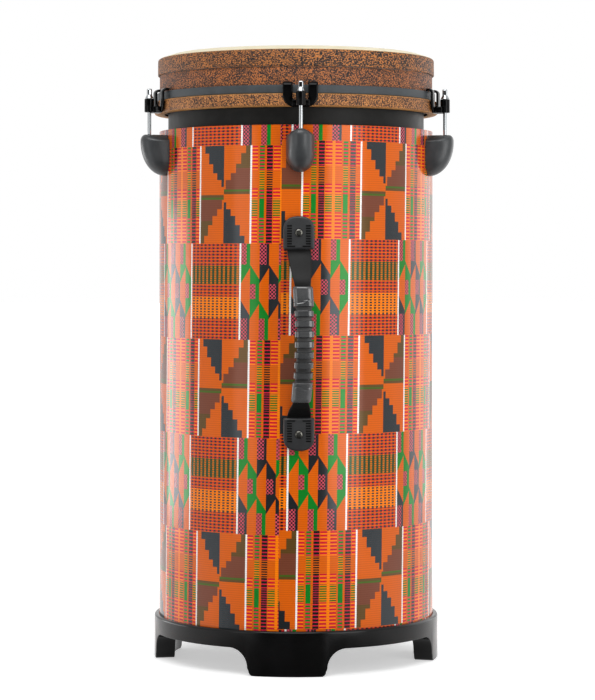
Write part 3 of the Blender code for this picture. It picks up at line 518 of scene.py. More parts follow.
def stripeRecipe(w):
    # blocks of barred stripes, and blocks of stairs whose lower half is the upper half turned round
    rows = [("fromStripes", "SUBTRACT", "across", w["stripesFrom"]),
            ("stripeAt", "FLOORED_MODULO", "fromStripes", w["repeat"]),
            ("inSet", "SUBTRACT", "stripeAt", w["setFrom"]),
            ("inSet", "FLOORED_MODULO", "inSet", w["stripeSet"]),
            *every("bar", "stepFall", w["barPitch"], w["bar"]),
            *every("heavyBar", "stepFall", w["barPitch"], w["heavyBar"]),
            *every("fineBar", "stepFall", w["finePitch"], w["fineBar"]),
            ("fine", "COMPARE", "stepFall", *w["fineRows"][0]),
            ("also", "COMPARE", "stepFall", *w["fineRows"][1]), ("fine", "MAXIMUM", "fine", "also"),
            ("bar", "PICK", "fine", "bar", "fineBar"), ("heavyBar", "PICK", "fine", "heavyBar", "fineBar"),
            ("inGap", "COMPARE", "inSet", *w["goldGap"]), ("stripes", "INK", "inGap", "orange", "golden")]
    for bar, inkSet, places in (("bar", "redInks", w["redStripes"]), ("bar", "greenInks", [w["greenStripe"]]),
                                ("heavyBar", "blackInks", [w["blackStripe"]])):
        rows += barred("stripe", bar, w["barRows"], "stepShare", *w[inkSet])
        for place in places:
            rows += [("inStripe", "COMPARE", "inSet", *place),
                     ("stripes", "INK", "inStripe", "stripes", "stripe")]
    rows += [("lower", "GREATER_THAN", "stepShare", 0.5),
             ("bx", "SUBTRACT", "stripeAt", w["stripesWide"] + w["blockGap"]),
             ("bx", "DIVIDE", "bx", w["repeat"] - w["stripesWide"] - 2 * w["blockGap"]),
             ("turned", "SUBTRACT", 1.0, "bx"), ("bx", "PICK", "lower", "bx", "turned"),
             ("turned", "SUBTRACT", 1.0, "stepShare"), ("by", "PICK", "lower", "stepShare", "turned"),
             ("stair", "ZONES", "by", *w["stair"]), ("farStair", "ZONES", "by", *w["farStair"]),
             ("near", "LESS_THAN", "bx", 0.5), ("inSlate", "GREATER_THAN", "bx", "stair"),
             ("inSlate", "MULTIPLY", "near", "inSlate"), ("inFar", "GREATER_THAN", "bx", "farStair"),
             ("farInk", "ZONES", "by", *w["farInks"]), ("blocks", "INK", "inFar", "orange", "farInk"),
             ("blocks", "INK", "inSlate", "blocks", "slate"),
             ("inStripes", "LESS_THAN", "stripeAt", w["stripesWide"]),
             ("stepPrint", "INK", "inStripes", "blocks", "stripes"),
             *bordered("stepPrint", "fromStripes", "stripeAt", w["stripesWide"])]
    return rows


def diamondRecipe(w):
    # blocks of dots on crossing lines, and long diamonds: ribbons that step one band to the right at a time
    def ruled(result, source, pitch, half):
        return every(result, source, w[pitch], (w[pitch] / 2, w[half]))

    rows = [("fromDiamonds", "SUBTRACT", "across", w["diamondsFrom"]),
            ("diamondAt", "FLOORED_MODULO", "fromDiamonds", w["repeat"]),
            ("dotAt", "SUBTRACT", "diamondAt", w["diamondsWide"] + w["firstDot"] - w["dotColumn"] / 2),
            *ruled("dotWide", "dotAt", "dotColumn", "dotHalf"),
            *ruled("column", "dotAt", "dotColumn", "columnHalf"),
            *ruled("dotTall", "dotFall", "dotPitch", "dotTall"),
            *ruled("line", "dotFall", "dotPitch", "lineHalf"),
            *ruled("close", "dotFall", "closePitch", "closeTall"),
            *ruled("hair", "dotFall", "hairPitch", "hairTall"),
            ("inPine", "COMPARE", "dotFall", *w["pineRow"]), ("inGold", "COMPARE", "dotFall", *w["goldRow"]),
            ("dotTall", "PICK", "inGold", "dotTall", "close"),
            ("dotTall", "PICK", "inPine", "dotTall", "hair"), ("line", "PICK", "inPine", "line", "hair"),
            ("column", "PICK", "inPine", "column", "dotWide"),
            *barred("dotted", "line", w["dotRowsAt"], "dotShare", w["groundInks"], w["lineInks"]),
            ("columnInk", "ZONES", "dotShare", *zip(w["dotRowsAt"], w["columnInks"])),
            ("dotted", "INK", "column", "dotted", "columnInk"),
            ("dot", "MULTIPLY", "dotTall", "dotWide"), ("dotted", "INK", "dot", "dotted", "black"),
            ("band", "SUBTRACT", "diamondAt", w["bandFrom"]), ("band", "DIVIDE", "band", w["band"]),
            ("inBand", "FRACT", "band"), ("band", "FLOOR", "band"), ("odd", "FLOORED_MODULO", "band", 2.0)]
    for result, rims, tests, joint in (("even", "evenRims", ("GREATER_THAN", "LESS_THAN"), "MULTIPLY"),
                                       ("post", "oddRims", ("LESS_THAN", "GREATER_THAN"), "MAXIMUM")):
        for part, rim, test in zip((result, "also"), w[rims], tests):
            rows += [("rim", "MULTIPLY_ADD", "inBand", *rim), (part, test, "dotFall", "rim")]
        rows.append((result, joint, result, "also"))
    rows += [("plain", "PICK", "odd", "even", "post"),
             ("third", "GREATER_THAN", "dotFall", w["turnsAt"]), ("third", "MULTIPLY", "third", 2.0),
             ("third", "PICK", "odd", "third", 1.0), ("dark", "SUBTRACT", "band", "third"),
             ("dark", "FLOORED_MODULO", "dark", 4.0), ("dark", "GREATER_THAN", "dark", 1.0),
             ("fromMiddle", "SUBTRACT", "dotFall", w["middle"]), ("fromMiddle", "ABSOLUTE", "fromMiddle"),
             ("panel", "GREATER_THAN", "fromMiddle", w["evenPanel"]),
             ("also", "LESS_THAN", "fromMiddle", w["oddPanel"]),
             ("panel", "PICK", "odd", "panel", "also"), ("side", "MULTIPLY_ADD", "dark", *w["panelShare"]),
             ("side", "LESS_THAN", "inBand", "side"), ("panel", "MULTIPLY", "panel", "side"),
             ("tick", "DIVIDE", "diamondAt", w["check"]), ("tick", "FLOOR", "tick"),
             ("tock", "DIVIDE", "dotFall", w["check"]), ("tock", "FLOOR", "tock"),
             ("tick", "ADD", "tick", "tock"), ("tick", "FLOORED_MODULO", "tick", 2.0),
             ("checks", "INK", "dark", "brown", "black"), ("checks", "INK", "tick", "checks", "rose"),
             ("ribbon", "INK", "dark", "green", "slate"), ("ribbon", "INK", "panel", "ribbon", "checks"),
             ("ribbon", "INK", "plain", "ribbon", "orange"),
             ("inDiamonds", "LESS_THAN", "diamondAt", w["diamondsWide"]),
             ("dotPrint", "INK", "inDiamonds", "dotted", "ribbon"),
             *bordered("dotPrint", "fromDiamonds", "diamondAt", w["diamondsWide"])]
    return rows


def printRecipe():
    # each row: result, step, what goes in; INK lays the third on the second where the first is 1,
    # PICK does so with plain values, and ZONES gives a value or an ink for each stretch
    w = weave
    pair = w["dotRows"] + w["stepRows"]
    return [
        ("lift", "SUBTRACT", "up", sheet["level"]), ("across", "MULTIPLY_ADD", "lift", -w["lean"], "along"),
        ("level", "MULTIPLY_ADD", "along", w["slope"], "up"), ("level", "SUBTRACT", "level", w["rowBase"]),
        ("rise", "FLOORED_MODULO", "level", pair), ("stepRow", "GREATER_THAN", "rise", w["dotRows"]),
        ("dotFall", "SUBTRACT", w["dotRows"], "rise"), ("stepFall", "SUBTRACT", pair, "rise"),
        ("dotShare", "DIVIDE", "dotFall", w["dotRows"]), ("stepShare", "DIVIDE", "stepFall", w["stepRows"]),
        *stripeRecipe(w), *diamondRecipe(w), ("print", "INK", "stepRow", "dotPrint", "stepPrint"),
        # shadow between the threads
        ("thread", "FLOORED_MODULO", "up", w["thread"]), ("thread", "LESS_THAN", "thread", w["threadGap"]),
        ("thread", "MULTIPLY", "thread", w["threadShade"]), ("print", "INK", "thread", "print", "shade"),
    ]


def printedFilm():
    # polyester film printed and laminated: saturated inks under a smooth clear gloss
    made, tree, shader = startMaterial("laminatedPrintedFilm", IOR=1.5)
    flat = addNode(tree, "ShaderNodeUVMap", uv_map="sheetMillimetres")
    flat = addNode(tree, "ShaderNodeSeparateXYZ", {0: flat}).outputs
    done = {"along": flat["X"], "up": flat["Y"]}
    for result, step, *given in printRecipe():
        if step == "ZONES":
            stretches = [(at, inks.get(value, value)) for at, value in given[1:]]
            done[result] = addNode(tree, "ShaderNodeValToRGB", {0: done[given[0]]}, stops=stretches)
            done[result].color_ramp.interpolation = "CONSTANT"
            continue
        given = [linear(inks[value]) if value in inks else done.get(value, value) for value in given]
        if step == "INK":
            done[result] = addNode(tree, "ShaderNodeMix", dict(zip((0, 6, 7), given)), data_type="RGBA")
        elif step == "PICK":
            done[result] = addNode(tree, "ShaderNodeMix", dict(zip((0, 2, 3), given)))
        else:
            done[result] = addNode(tree, "ShaderNodeMath", dict(enumerate(given)), operation=step)
    hue = addNode(tree, "ShaderNodeSeparateColor", {0: done["print"]}, mode="HSV").outputs
    faint = addNode(tree, "ShaderNodeMath", {0: hue[1], 1: sheet["glossTint"]}, operation="MULTIPLY")
    gloss = addNode(tree, "ShaderNodeCombineColor", {0: hue[0], 1: faint, 2: 1.0}, mode="HSV")
    where = addNode(tree, "ShaderNodeTexCoord").outputs["Object"]
    peel = addNode(tree, "ShaderNodeTexNoise", {"Vector": where, "Scale": 1000 / sheet["peel"],
                                                "Detail": 2.0})
    sheen = addNode(tree, "ShaderNodeMapRange", {0: peel, 1: 0.3, 2: 0.7, 3: 0.15, 4: 0.20})
    bump = addNode(tree, "ShaderNodeBump", {"Height": peel, "Strength": 0.06, "Distance": 0.0005})
    wire(tree, shader, Base_Color=done["print"], Specular_Tint=gloss, Roughness=sheen, Normal=bump)
    return made


def printedSheet():
    radius, sides, low, high = (sheet[key] for key in ("radius", "sides", "low", "high"))
    girth = fullTurn * radius
    bm = bmesh.new()
    uv = bm.loops.layers.uv.new("sheetMillimetres")

    def corner(k, z, out):
        start = sheet["seam"] + sheet["lean"] * (z - sheet["level"])
        return spot(0, out, z, (start + girth * k / sides) / radius - cameraSet["turn"])

    tall = [low + (high - low) * i / sheet["rows"] for i in range(sheet["rows"] + 1)]
    tall[-1] -= sheet["easedEdge"]
    outline = [(z, radius) for z in tall]
    outline += [(high, radius - sheet["easedEdge"]), (high, sheet["inner"]), (low, sheet["inner"])]
    rows = [[bm.verts.new(corner(k, z, out)) for k in range(sides)] for z, out in outline]
    for i in range(len(rows)):
        after = (i + 1) % len(rows)
        for k in range(sides):
            j = (k + 1) % sides
            face = bm.faces.new((rows[i][k], rows[i][j], rows[after][j], rows[after][k]))
            for loop, run, at in zip(face.loops, (k, k + 1, k + 1, k), (i, i, after, after)):
                loop[uv].uv = (girth * run / sides, outline[at][0])
    mesh = bpy.data.meshes.new("printedSheet")
    bm.to_mesh(mesh)
    bm.free()
    return mesh


putOn("printedSheet", printedSheet(), printedFilm(), "shell", ["printed_wrap"], crease=30)
print("printed sheet wrapped")

# shell: wound tube, neck with its bearing edge, baffle and port
shell = {
    "tube": eased([(147.5, 37.3), (156.4, 37.3), (156.4, 601.4), (147.5, 601.4)], [0.3, 0.3, 0.6, 0.6]),
    "neck": eased([(139.0, 535.0), (147.2, 535.0), (147.2, 686.6), (143.4, 688.1), (139.0, 685.1)],
                  [0.5, 0.5, 2.0, 1.5, 2.0]),
    "baffle": eased([(52.3, 46.3), (147.2, 46.3), (147.2, 58.3), (52.3, 58.3)], [0.4, 0.4, 0.4, 0.4]),
    "port": eased([(58.0, 43.0), (58.0, 46.0), (52.0, 46.0), (52.0, 193.0), (48.0, 193.0), (48.0, 43.0)],
                  [0.8, 0.4, 0.0, 1.2, 1.2, 2.0]),
}
# spiral-wound kraft board: dull brown, faintly rough on its cut edge
fibreBoard = grained("spiralWoundFibreTube", "#4d3a2a", "#7a5f45", 0.9, 0.85, 0.4)
# sprayed satin paint on the wooden neck: near-black with a low even sheen
neckPaint = grained("sprayedSatinNeckPaint", "#1c1c1b", "#262625", 0.5, 0.42, 0.08, Specular_IOR_Level=0.12)
# painted fibreboard: dead flat black, slightly furry
baffleBoard = grained("paintedFibreboard", "#15120f", "#231f1b", 0.8, 0.82, 0.3)
# extruded port tube: smooth dark plastic, a shade lighter than the board
portPlastic = grained("extrudedPortPlastic", "#151516", "#1f1f20", 0.4, 0.45, 0.06)
for name, outline, finish, slot, node, sides in (
        ("fibreTube", "tube", fibreBoard, "fibre_tube", "shell_tube", 180),
        ("neckRing", "neck", neckPaint, "neck_paint", "neck_ring", 180),
        ("bafflePlate", "baffle", baffleBoard, "baffle_board", "baffle_plate", 180),
        ("portTube", "port", portPlastic, "port_plastic", "port_tube", 96)):
    putOn(name, turnedRing(shell[outline], finish, sides), finish, "shell", [node])
print("shell made")

# base: a channelled ring drawn down into four feet
base = {"outer": 163.0, "inner": 141.2, "channel": 157.6, "groove": 147.2, "top": 49.4, "seat": 37.0,
        "shelf": 46.0, "feet": 4, "footHeight": 30.0, "footHalf": 43.0, "corner": 5.0, "fillet": 22.0,
        "draft": 1.5, "turn": math.radians(-5.2), "topRound": 2.6, "edge": 1.0, "fill": math.radians(1.5),
        "clear": 1.0}


def footedBase():
    b = base
    corner, fillet = b["corner"], b["fillet"]
    side = [(b["footHalf"] - corner * (1 - math.sin(a)), corner * (1 - math.cos(a))) for a in sweep(8)]
    far = b["footHalf"] + b["draft"] + fillet
    side += [(far - fillet * math.cos(a), b["footHeight"] - fillet * (1 - math.sin(a))) for a in sweep(16)]
    feet = [b["turn"] + a for a in turnsOf(b["feet"])]
    stands = [(foot + sign * run / b["outer"], z) for foot in feet for sign in (-1, 1) for run, z in side]
    for angle in turnsOf(round(fullTurn / b["fill"])):
        run = min(abs(math.remainder(angle - foot, fullTurn)) for foot in feet) * b["outer"]
        if run < side[0][0] - b["clear"] or run > far + b["clear"]:
            stands.append((angle, 0.0 if run < far - fillet else b["footHeight"]))
    loops = []
    for angle, under in sorted((angle % fullTurn, z) for angle, z in stands):
        outline = eased([(b["outer"], under), (b["outer"], b["top"]), (b["channel"], b["top"]),
                         (b["channel"], b["seat"]), (b["groove"], b["seat"]), (b["groove"], b["shelf"]),
                         (b["inner"], b["shelf"]), (b["inner"], under)],
                        [b["edge"], b["topRound"], 0.5, 0.0, 0.0, 0.5, 0.8, b["edge"]], 8)
        loops.append([spot(0, r, z, angle) for r, z in outline])
    return skin(loops, joined=True)


# injection-moulded ABS: deep black, satin gloss, a thin light along its rounded rim
basePlastic = grained("mouldedBaseAbs", "#060606", "#0b0b0c", 0.7, 0.17, 0.08, Specular_IOR_Level=0.22)
putOn("footedBase", footedBase(), basePlastic, "shell", ["base_ring"])
print("base made")

# head: coated film on a stiff ring, brown bands round it, the lip, and the hoop that pulls it down
lipLow, lipTop = spanOf("flesh_hoop")
hoopLow, hoopTop = spanOf("counterhoop")
lowerLow, lowerTop = spanOf("head_wrap_lower")
upperLow, upperTop = spanOf("head_wrap_upper")
skirtLow, filmTop = spanOf("drumhead")
head = {
    "film": eased([(0.0, filmTop - 1.0), (0.0, filmTop), (142.5, filmTop), (157.1, skirtLow),
                   (157.1, skirtLow - 2.5), (156.3, skirtLow - 2.5), (156.3, skirtLow - 0.7),
                   (142.5, filmTop - 1.0)], [0.0, 0.0, 12.0, 1.5, 0.2, 0.2, 0.5, 8.0], 8),
    "ring": eased([(151.0, lipLow + 2.8), (156.0, lipLow + 2.8), (156.0, skirtLow - 1.8),
                   (151.0, skirtLow - 1.8)], [0.8, 0.3, 0.3, 0.8]),
    "upper": eased([(156.3, upperLow), (159.0, upperLow), (158.8, upperTop), (156.3, upperTop)],
                   [0.2, 0.9, 2.2, 0.2]),
    "lower": eased([(156.3, lowerLow), (156.9, lowerLow), (156.9, lowerTop), (156.3, lowerTop)],
                   [0.1, 0.1, 0.1, 0.1]),
    "lip": eased([(151.2, lipLow), (163.0, lipLow), (163.0, lipTop), (156.3, lipTop), (156.3, lipLow + 2.5),
                  (151.2, lipLow + 2.5)], [0.8, 2.4, 1.6, 0.3, 0.0, 0.8]),
    "hoop": eased([(157.2, hoopLow), (160.2, hoopLow), (160.2, hoopTop), (157.2, hoopTop)],
                  [0.4, 0.6, 0.7, 0.4]),
    "sides": 240, "drift": 14.0, "jointHalf": 0.6, "wornShare": 0.75,
}


def barkVinyl(name, dark, middle, light, speck, stretch, edges=None, joint=None):
    # embossed and wiped vinyl: dark stain in the pits of a tan ground, its specks drawn coarse enough to show
    # edges: height, distances between which the surface is rubbed paler, and the paler colour
    # joint: place to the right of the middle, and how far the grain is drawn out beyond it
    made, tree, shader = startMaterial(name)
    where = addNode(tree, "ShaderNodeTexCoord").outputs["Object"]
    place = addNode(tree, "ShaderNodeSeparateXYZ", {0: where}).outputs
    if joint:  # two lengths butted together
        start, beyond = joint[0] / 1000, joint[1]
        second = addNode(tree, "ShaderNodeMath", {0: place["X"], 1: start}, operation="GREATER_THAN")
        stretch = addNode(tree, "ShaderNodeMix", {0: second, 2: stretch, 3: beyond})
    squashed = addNode(tree, "ShaderNodeMath", {0: place["Z"], 1: stretch}, operation="MULTIPLY")
    flat = addNode(tree, "ShaderNodeCombineXYZ", {0: place["X"], 1: place["Y"], 2: squashed})
    pits = addNode(tree, "ShaderNodeTexNoise", {"Vector": flat, "Scale": 1000 / speck, "Detail": 2.0,
                                                "Roughness": 0.5, "Distortion": 0.25})
    drift = addNode(tree, "ShaderNodeTexNoise", {"Vector": flat, "Scale": 1000 / head["drift"],
                                                 "Detail": 3.0})
    mixed = addNode(tree, "ShaderNodeMath", {0: drift, 1: 0.2, 2: pits}, operation="MULTIPLY_ADD")
    mixed = addNode(tree, "ShaderNodeMath", {0: mixed, 1: 0.1}, operation="SUBTRACT")
    colour = addNode(tree, "ShaderNodeValToRGB", {0: mixed}, stops=((0.42, dark), (0.485, middle),
                                                                    (0.515, middle), (0.575, light)))
    if edges:
        level, inner, outer, worn = edges
        off = addNode(tree, "ShaderNodeMath", {0: place["Z"], 1: level / 1000}, operation="SUBTRACT")
        off = addNode(tree, "ShaderNodeMath", {0: off}, operation="ABSOLUTE")
        rubbed = addNode(tree, "ShaderNodeMapRange", {0: off, 1: inner / 1000, 2: outer / 1000,
                                                      3: 0.0, 4: head["wornShare"]})
        colour = addNode(tree, "ShaderNodeMix", {0: rubbed, 6: colour, 7: linear(worn)}, data_type="RGBA")
    if joint:
        gap = addNode(tree, "ShaderNodeMath", {0: place["X"], 1: start, 2: head["jointHalf"] / 1000},
                      operation="COMPARE")
        colour = addNode(tree, "ShaderNodeMix", {0: gap, 6: colour, 7: linear(dark)}, data_type="RGBA")
    sheen = addNode(tree, "ShaderNodeMapRange", {0: pits, 1: 0.3, 2: 0.7, 3: 0.72, 4: 0.55})
    bump = addNode(tree, "ShaderNodeBump", {"Height": pits, "Strength": 0.35, "Distance": 0.0006})
    wire(tree, shader, Base_Color=colour, Roughness=sheen, Normal=bump)
    return made


# coated polyester film: cream, sprayed to a fine tooth so it never shines
headFilm = grained("coatedPolyesterFilm", "#e0d5b4", "#ebe2c6", 0.7, 0.55, 0.25)
# moulded resin ring: plain white, a little glossy
ringResin = grained("mouldedWhiteResin", "#d9d8d4", "#e9e8e5", 0.6, 0.35, 0.05)
bandTall = upperTop - upperLow
upperBand = barkVinyl("embossedBarkVinylUpper", "#060302", "#472d1d", "#b8702e", 1.85, 2.3,
                      (upperLow, bandTall - 1.6, bandTall + 0.3, "#a8763a"), (2.0, 1.4))
lowerBand = barkVinyl("embossedBarkVinylLower", "#0c0503", "#52301d", "#ad642b", 1.4, 1.1)
lipVinyl = barkVinyl("embossedBarkVinylLip", "#1c0d06", "#6e4426", "#bd7c3d", 1.35, 1.1,
                     ((lipLow + lipTop) / 2, 5.4, 7.2, "#b9813f"))
# powder-coated steel hoop: matt slate with a fine even tooth
hoopCoat = grained("powderCoatedSteelHoop", "#2c3134", "#3a4044", 0.5, 0.55, 0.2)
for name, outline, finish, slot, node in (
        ("headFilm", "film", headFilm, "cream_film", "drumhead"),
        ("headRing", "ring", ringResin, "white_ring", "head_ring"),
        ("upperBand", "upper", upperBand, "brown_band", "head_wrap_upper"),
        ("lowerBand", "lower", lowerBand, "brown_band", "head_wrap_lower"),
        ("headLip", "lip", lipVinyl, "brown_lip", "flesh_hoop"),
        ("counterHoop", "hoop", hoopCoat, "slate_hoop", "counterhoop")):
    putOn(name, turnedRing(head[outline], finish, head["sides"]), finish, "head", [node], crease=50)
print("head made")

# claws: a cast strap hooked over the hoop at both ears, with a barrel for the rod between them
rodOut = 176.0
claw = {"ear": 13.9, "earHalf": 5.4, "barHalf": 4.0, "thick": 1.5, "dome": (0.5, 0.8), "points": 28,
        "corner": 8.0, "cornerSteps": 14, "tip": 157.8, "hookTop": hoopTop + 1.8, "bend": 3.4,
        "plateOut": 164.8,
        "blunt": ((0.0, 2.2), (0.25, 1.2), (0.8, 0.4)),  # distance from the hook's end, and how much narrower
        "straight": 0.5, "barZ": lipLow + 3.0, "barrelSides": 40,
        "barrel": eased([(2.75, 621.0), (5.5, 621.0), (5.5, 636.4), (2.75, 636.4)], [0.3, 1.0, 1.0, 0.3]),
        "webX": (3.3, 9.6), "webOut": (164.5, 174.5), "webZ": (620.6, 627.8), "webRound": 0.9}


def fullOval(points, wide, thick):
    # an oval squared up by two powers, fuller than an ellipse, from half a step round
    turns = [a + math.pi / points for a in turnsOf(points)]
    return [(bulged(math.cos(a), wide), bulged(math.sin(a), thick)) for a in turns]


def aboutRod(radius, a, z):
    return spot(radius * math.cos(a), rodOut - radius * math.sin(a), z)


def clawShape():
    c = claw
    ear, bend, plate, corner, steps = (c[key] for key in ("ear", "bend", "plateOut", "corner", "cornerSteps"))
    front, right = (0, 1, 0), (1, 0, 0)
    path = []  # point, normal of the strap, direction of its outer edge, half width; right ear, then mirrored
    for run, less in c["blunt"]:
        path.append(((ear, c["tip"] + run, c["hookTop"]), (0, 0, 1), right, c["earHalf"] - less))
    for a in sweep(10):
        point = (ear, plate - bend * (1 - math.sin(a)), c["hookTop"] - bend * (1 - math.cos(a)))
        path.append((point, (0, math.sin(a), math.cos(a)), right, c["earHalf"]))
    foot = c["barZ"] + corner
    for z in (c["hookTop"] - bend - c["straight"], foot + c["straight"]):  # the ear hangs straight down
        path.append(((ear, plate, z), front, right, c["earHalf"]))
    for k, a in enumerate(sweep(steps)):
        point = (ear - corner * (1 - math.cos(a)), plate, foot - corner * math.sin(a))
        half = c["earHalf"] + (c["barHalf"] - c["earHalf"]) * k / steps
        path.append((point, front, (math.cos(a), 0, -math.sin(a)), half))
    path += [((-p[0], *p[1:]), normal, (-e[0], *e[1:]), half) for p, normal, e, half in reversed(path)]
    oval = fullOval(c["points"], *c["dome"])
    loops = []
    for point, normal, edge, half in path:
        loops.append([spot(*[p + e * half * x + n * c["thick"] * t for p, e, n in zip(point, edge, normal)])
                      for x, t in oval])
    barrel = [[aboutRod(r, a, z) for r, z in c["barrel"]] for a in turnsOf(c["barrelSides"])]
    webs = []
    for sign in (-1, 1):
        web = block([sign * x for x in c["webX"]], c["webOut"], c["webZ"])
        bmesh.ops.bevel(web, geom=web.edges[:], offset=c["webRound"] / 1000, segments=3, profile=0.5,
                        affect="EDGES")
        webs.append(web)
    return joinedUp(skin(loops), skin(barrel, joined=True), *webs)


# black enamel over cast zinc: smooth deep black that carries a soft bar of light
enamel = grained("stovedBlackEnamel", "#030303", "#070708", 1.2, 0.10, 0.03, Specular_IOR_Level=0.10,
                 Coat_Weight=0.06, Coat_Roughness=0.04)
mesh, = roundTheDrum(clawShape(), enamel, [(stations, 0)])
putOn("claws", mesh, enamel, "head", numbered("claw"), crease=40)
print("claws made")

# tension rods: rolled thread below, coned flange and square key head above, each on its own body
rod = {"radius": 2.15, "tip": 573.0, "threadTop": 597.0, "pitch": 1.0, "depth": 0.32, "rings": 4,
       "runOut": 2.0, "chamfer": 0.6, "chamferSlope": 0.5, "firstDepth": 0.4, "seat": 636.7, "flange": 4.85,
       "flangeEdge": 0.3, "collar": 640.6, "collarFlare": 0.25, "square": 2.75, "corners": 4, "top": 647.9,
       "sides": 40,
       "keyFoot": (0.3, 0.9),  # heights above the collar; then depths below the top, and how much narrower
       "keyTop": ((1.6, 0.0), (0.9, 0.15), (0.35, 0.5), (0.05, 1.0), (0.0, 1.6))}


def tensionRod():
    r = rod
    turns = turnsOf(r["sides"])

    def thread(a, z):
        start = z - r["tip"]
        wave = abs(((z / r["pitch"] - a / fullTurn) % 1.0) * 2 - 1)
        fade = min(1.0, (r["threadTop"] - z) / r["runOut"], start / r["chamfer"] + r["firstDepth"])
        worn = max(0.0, r["chamfer"] - start) * r["chamferSlope"]
        return r["radius"] - r["depth"] * wave * max(fade, 0.0) - worn

    def keyed(a):
        # how far a rounded square of half width 1 reaches
        return (abs(math.cos(a)) ** r["corners"] + abs(math.sin(a)) ** r["corners"]) ** (-1 / r["corners"])

    loops = []
    for k in range(round((r["threadTop"] - r["tip"]) / r["pitch"] * r["rings"])):
        z = r["tip"] + k * r["pitch"] / r["rings"]
        loops.append([aboutRod(thread(a, z), a, z) for a in turns])
    for z, reach in ((r["threadTop"], r["radius"]), (r["seat"], r["radius"]),
                     (r["seat"], r["flange"] - r["flangeEdge"]), (r["seat"] + r["flangeEdge"], r["flange"]),
                     (r["collar"], r["square"] + r["collarFlare"])):
        loops.append([aboutRod(reach, a, z) for a in turns])
    levels = [(r["collar"] + up, r["square"]) for up in r["keyFoot"]]
    levels += [(r["top"] - down, r["square"] - less) for down, less in r["keyTop"]]
    for z, half in levels:
        loops.append([aboutRod(half * keyed(a), a, z) for a in turns])
    return skin(loops)


# bright chrome plate on steel: mirror with faint handling haze
chrome = grained("chromePlatedSteel", "#a6a9ab", "#bcbfc1", 1.0, 0.10, 0.02, Metallic=1.0)
for i, mesh in enumerate(roundTheDrum(tensionRod(), chrome, [(1, i) for i in range(stations)]), 1):
    putOn(f"tensionRod{i}", mesh, chrome, f"rod_{i}", [f"tension_rod_{i}"], crease=40)
print("rods made")

# lugs: bullet-shaped blocks that hold the threaded inserts
lug = {"top": 596.0, "height": 46.5, "half": 15.5, "depth": 28.4, "topRound": 7.0, "topDepth": 5.4,
       "topSide": 4.2, "taper": 19.5, "sweep": 38.1, "squareness": 0.86, "sag": 7.5, "sagFrom": 11.0,
       "shell": 157.6, "face": 157.3, "leastDepth": 0.3, "hole": 3.7, "holeDepth": 24.3, "holeEase": 0.3,
       "taperSteps": 14, "steps": 8, "sides": 40}


def lugShape():
    g = lug
    low, top, steps = g["top"] - g["height"], g["top"], g["steps"]
    straight = g["height"] - g["topRound"] - g["taper"]
    heights = [low + g["taper"] * (1 - math.cos(a)) for a in sweep(g["taperSteps"])[1:]]
    heights += [low + g["taper"] + up for up in sweep(steps, straight)[1:]]
    heights += [top - g["topRound"] * (1 - math.sin(a)) for a in sweep(steps)[1:]]
    loops = []

    def crest(x, z):
        # the top edge falls away to both sides
        return z - g["sag"] * (x / g["half"]) ** 2 * max(0.0, 1 - (top - z) / g["sagFrom"]) ** 2

    for z in heights:
        drawn = 1 - rounded((top - z) / g["topRound"])
        half = g["half"] * rounded((z - low) / g["taper"]) - g["topSide"] * drawn
        depth = g["depth"] * rounded((z - low) / g["sweep"]) - g["topDepth"] * drawn
        loop = []
        for a in sweep(g["sides"], math.pi):
            out = max(depth * bulged(math.sin(a), g["squareness"]), g["leastDepth"])
            loop.append((half * bulged(math.cos(a), g["squareness"]), g["face"] + out))
        bed = [half * (k / steps - 1) for k in range(2 * steps + 1)]
        loop += [(x, math.sqrt(g["shell"] ** 2 - x ** 2)) for x in bed]
        loops.append([spot(x, out, crest(x, z)) for x, out in loop])
    hole, ease = g["hole"], g["holeEase"]
    for radius, z in ((hole + ease, top), (hole, top - ease), (hole, top - g["holeDepth"])):
        ring = []
        for x, out in loop:  # the topmost loop drawn in to a circle
            near = radius / math.hypot(x, out - rodOut)
            ring.append(spot(x * near, rodOut + (out - rodOut) * near, crest(x * near, z)))
        loops.append(ring)
    return skin(loops)


# moulded nylon: charcoal black with a soft broad sheen
lugNylon = grained("mouldedLugNylon", "#2c2e30", "#373a3c", 0.5, 0.36, 0.08, Specular_IOR_Level=0.5)
mesh, = roundTheDrum(lugShape(), lugNylon, [(stations, 0)])
putOn("lugs", mesh, lugNylon, "shell", numbered("lug"), crease=40)
print("lugs made")

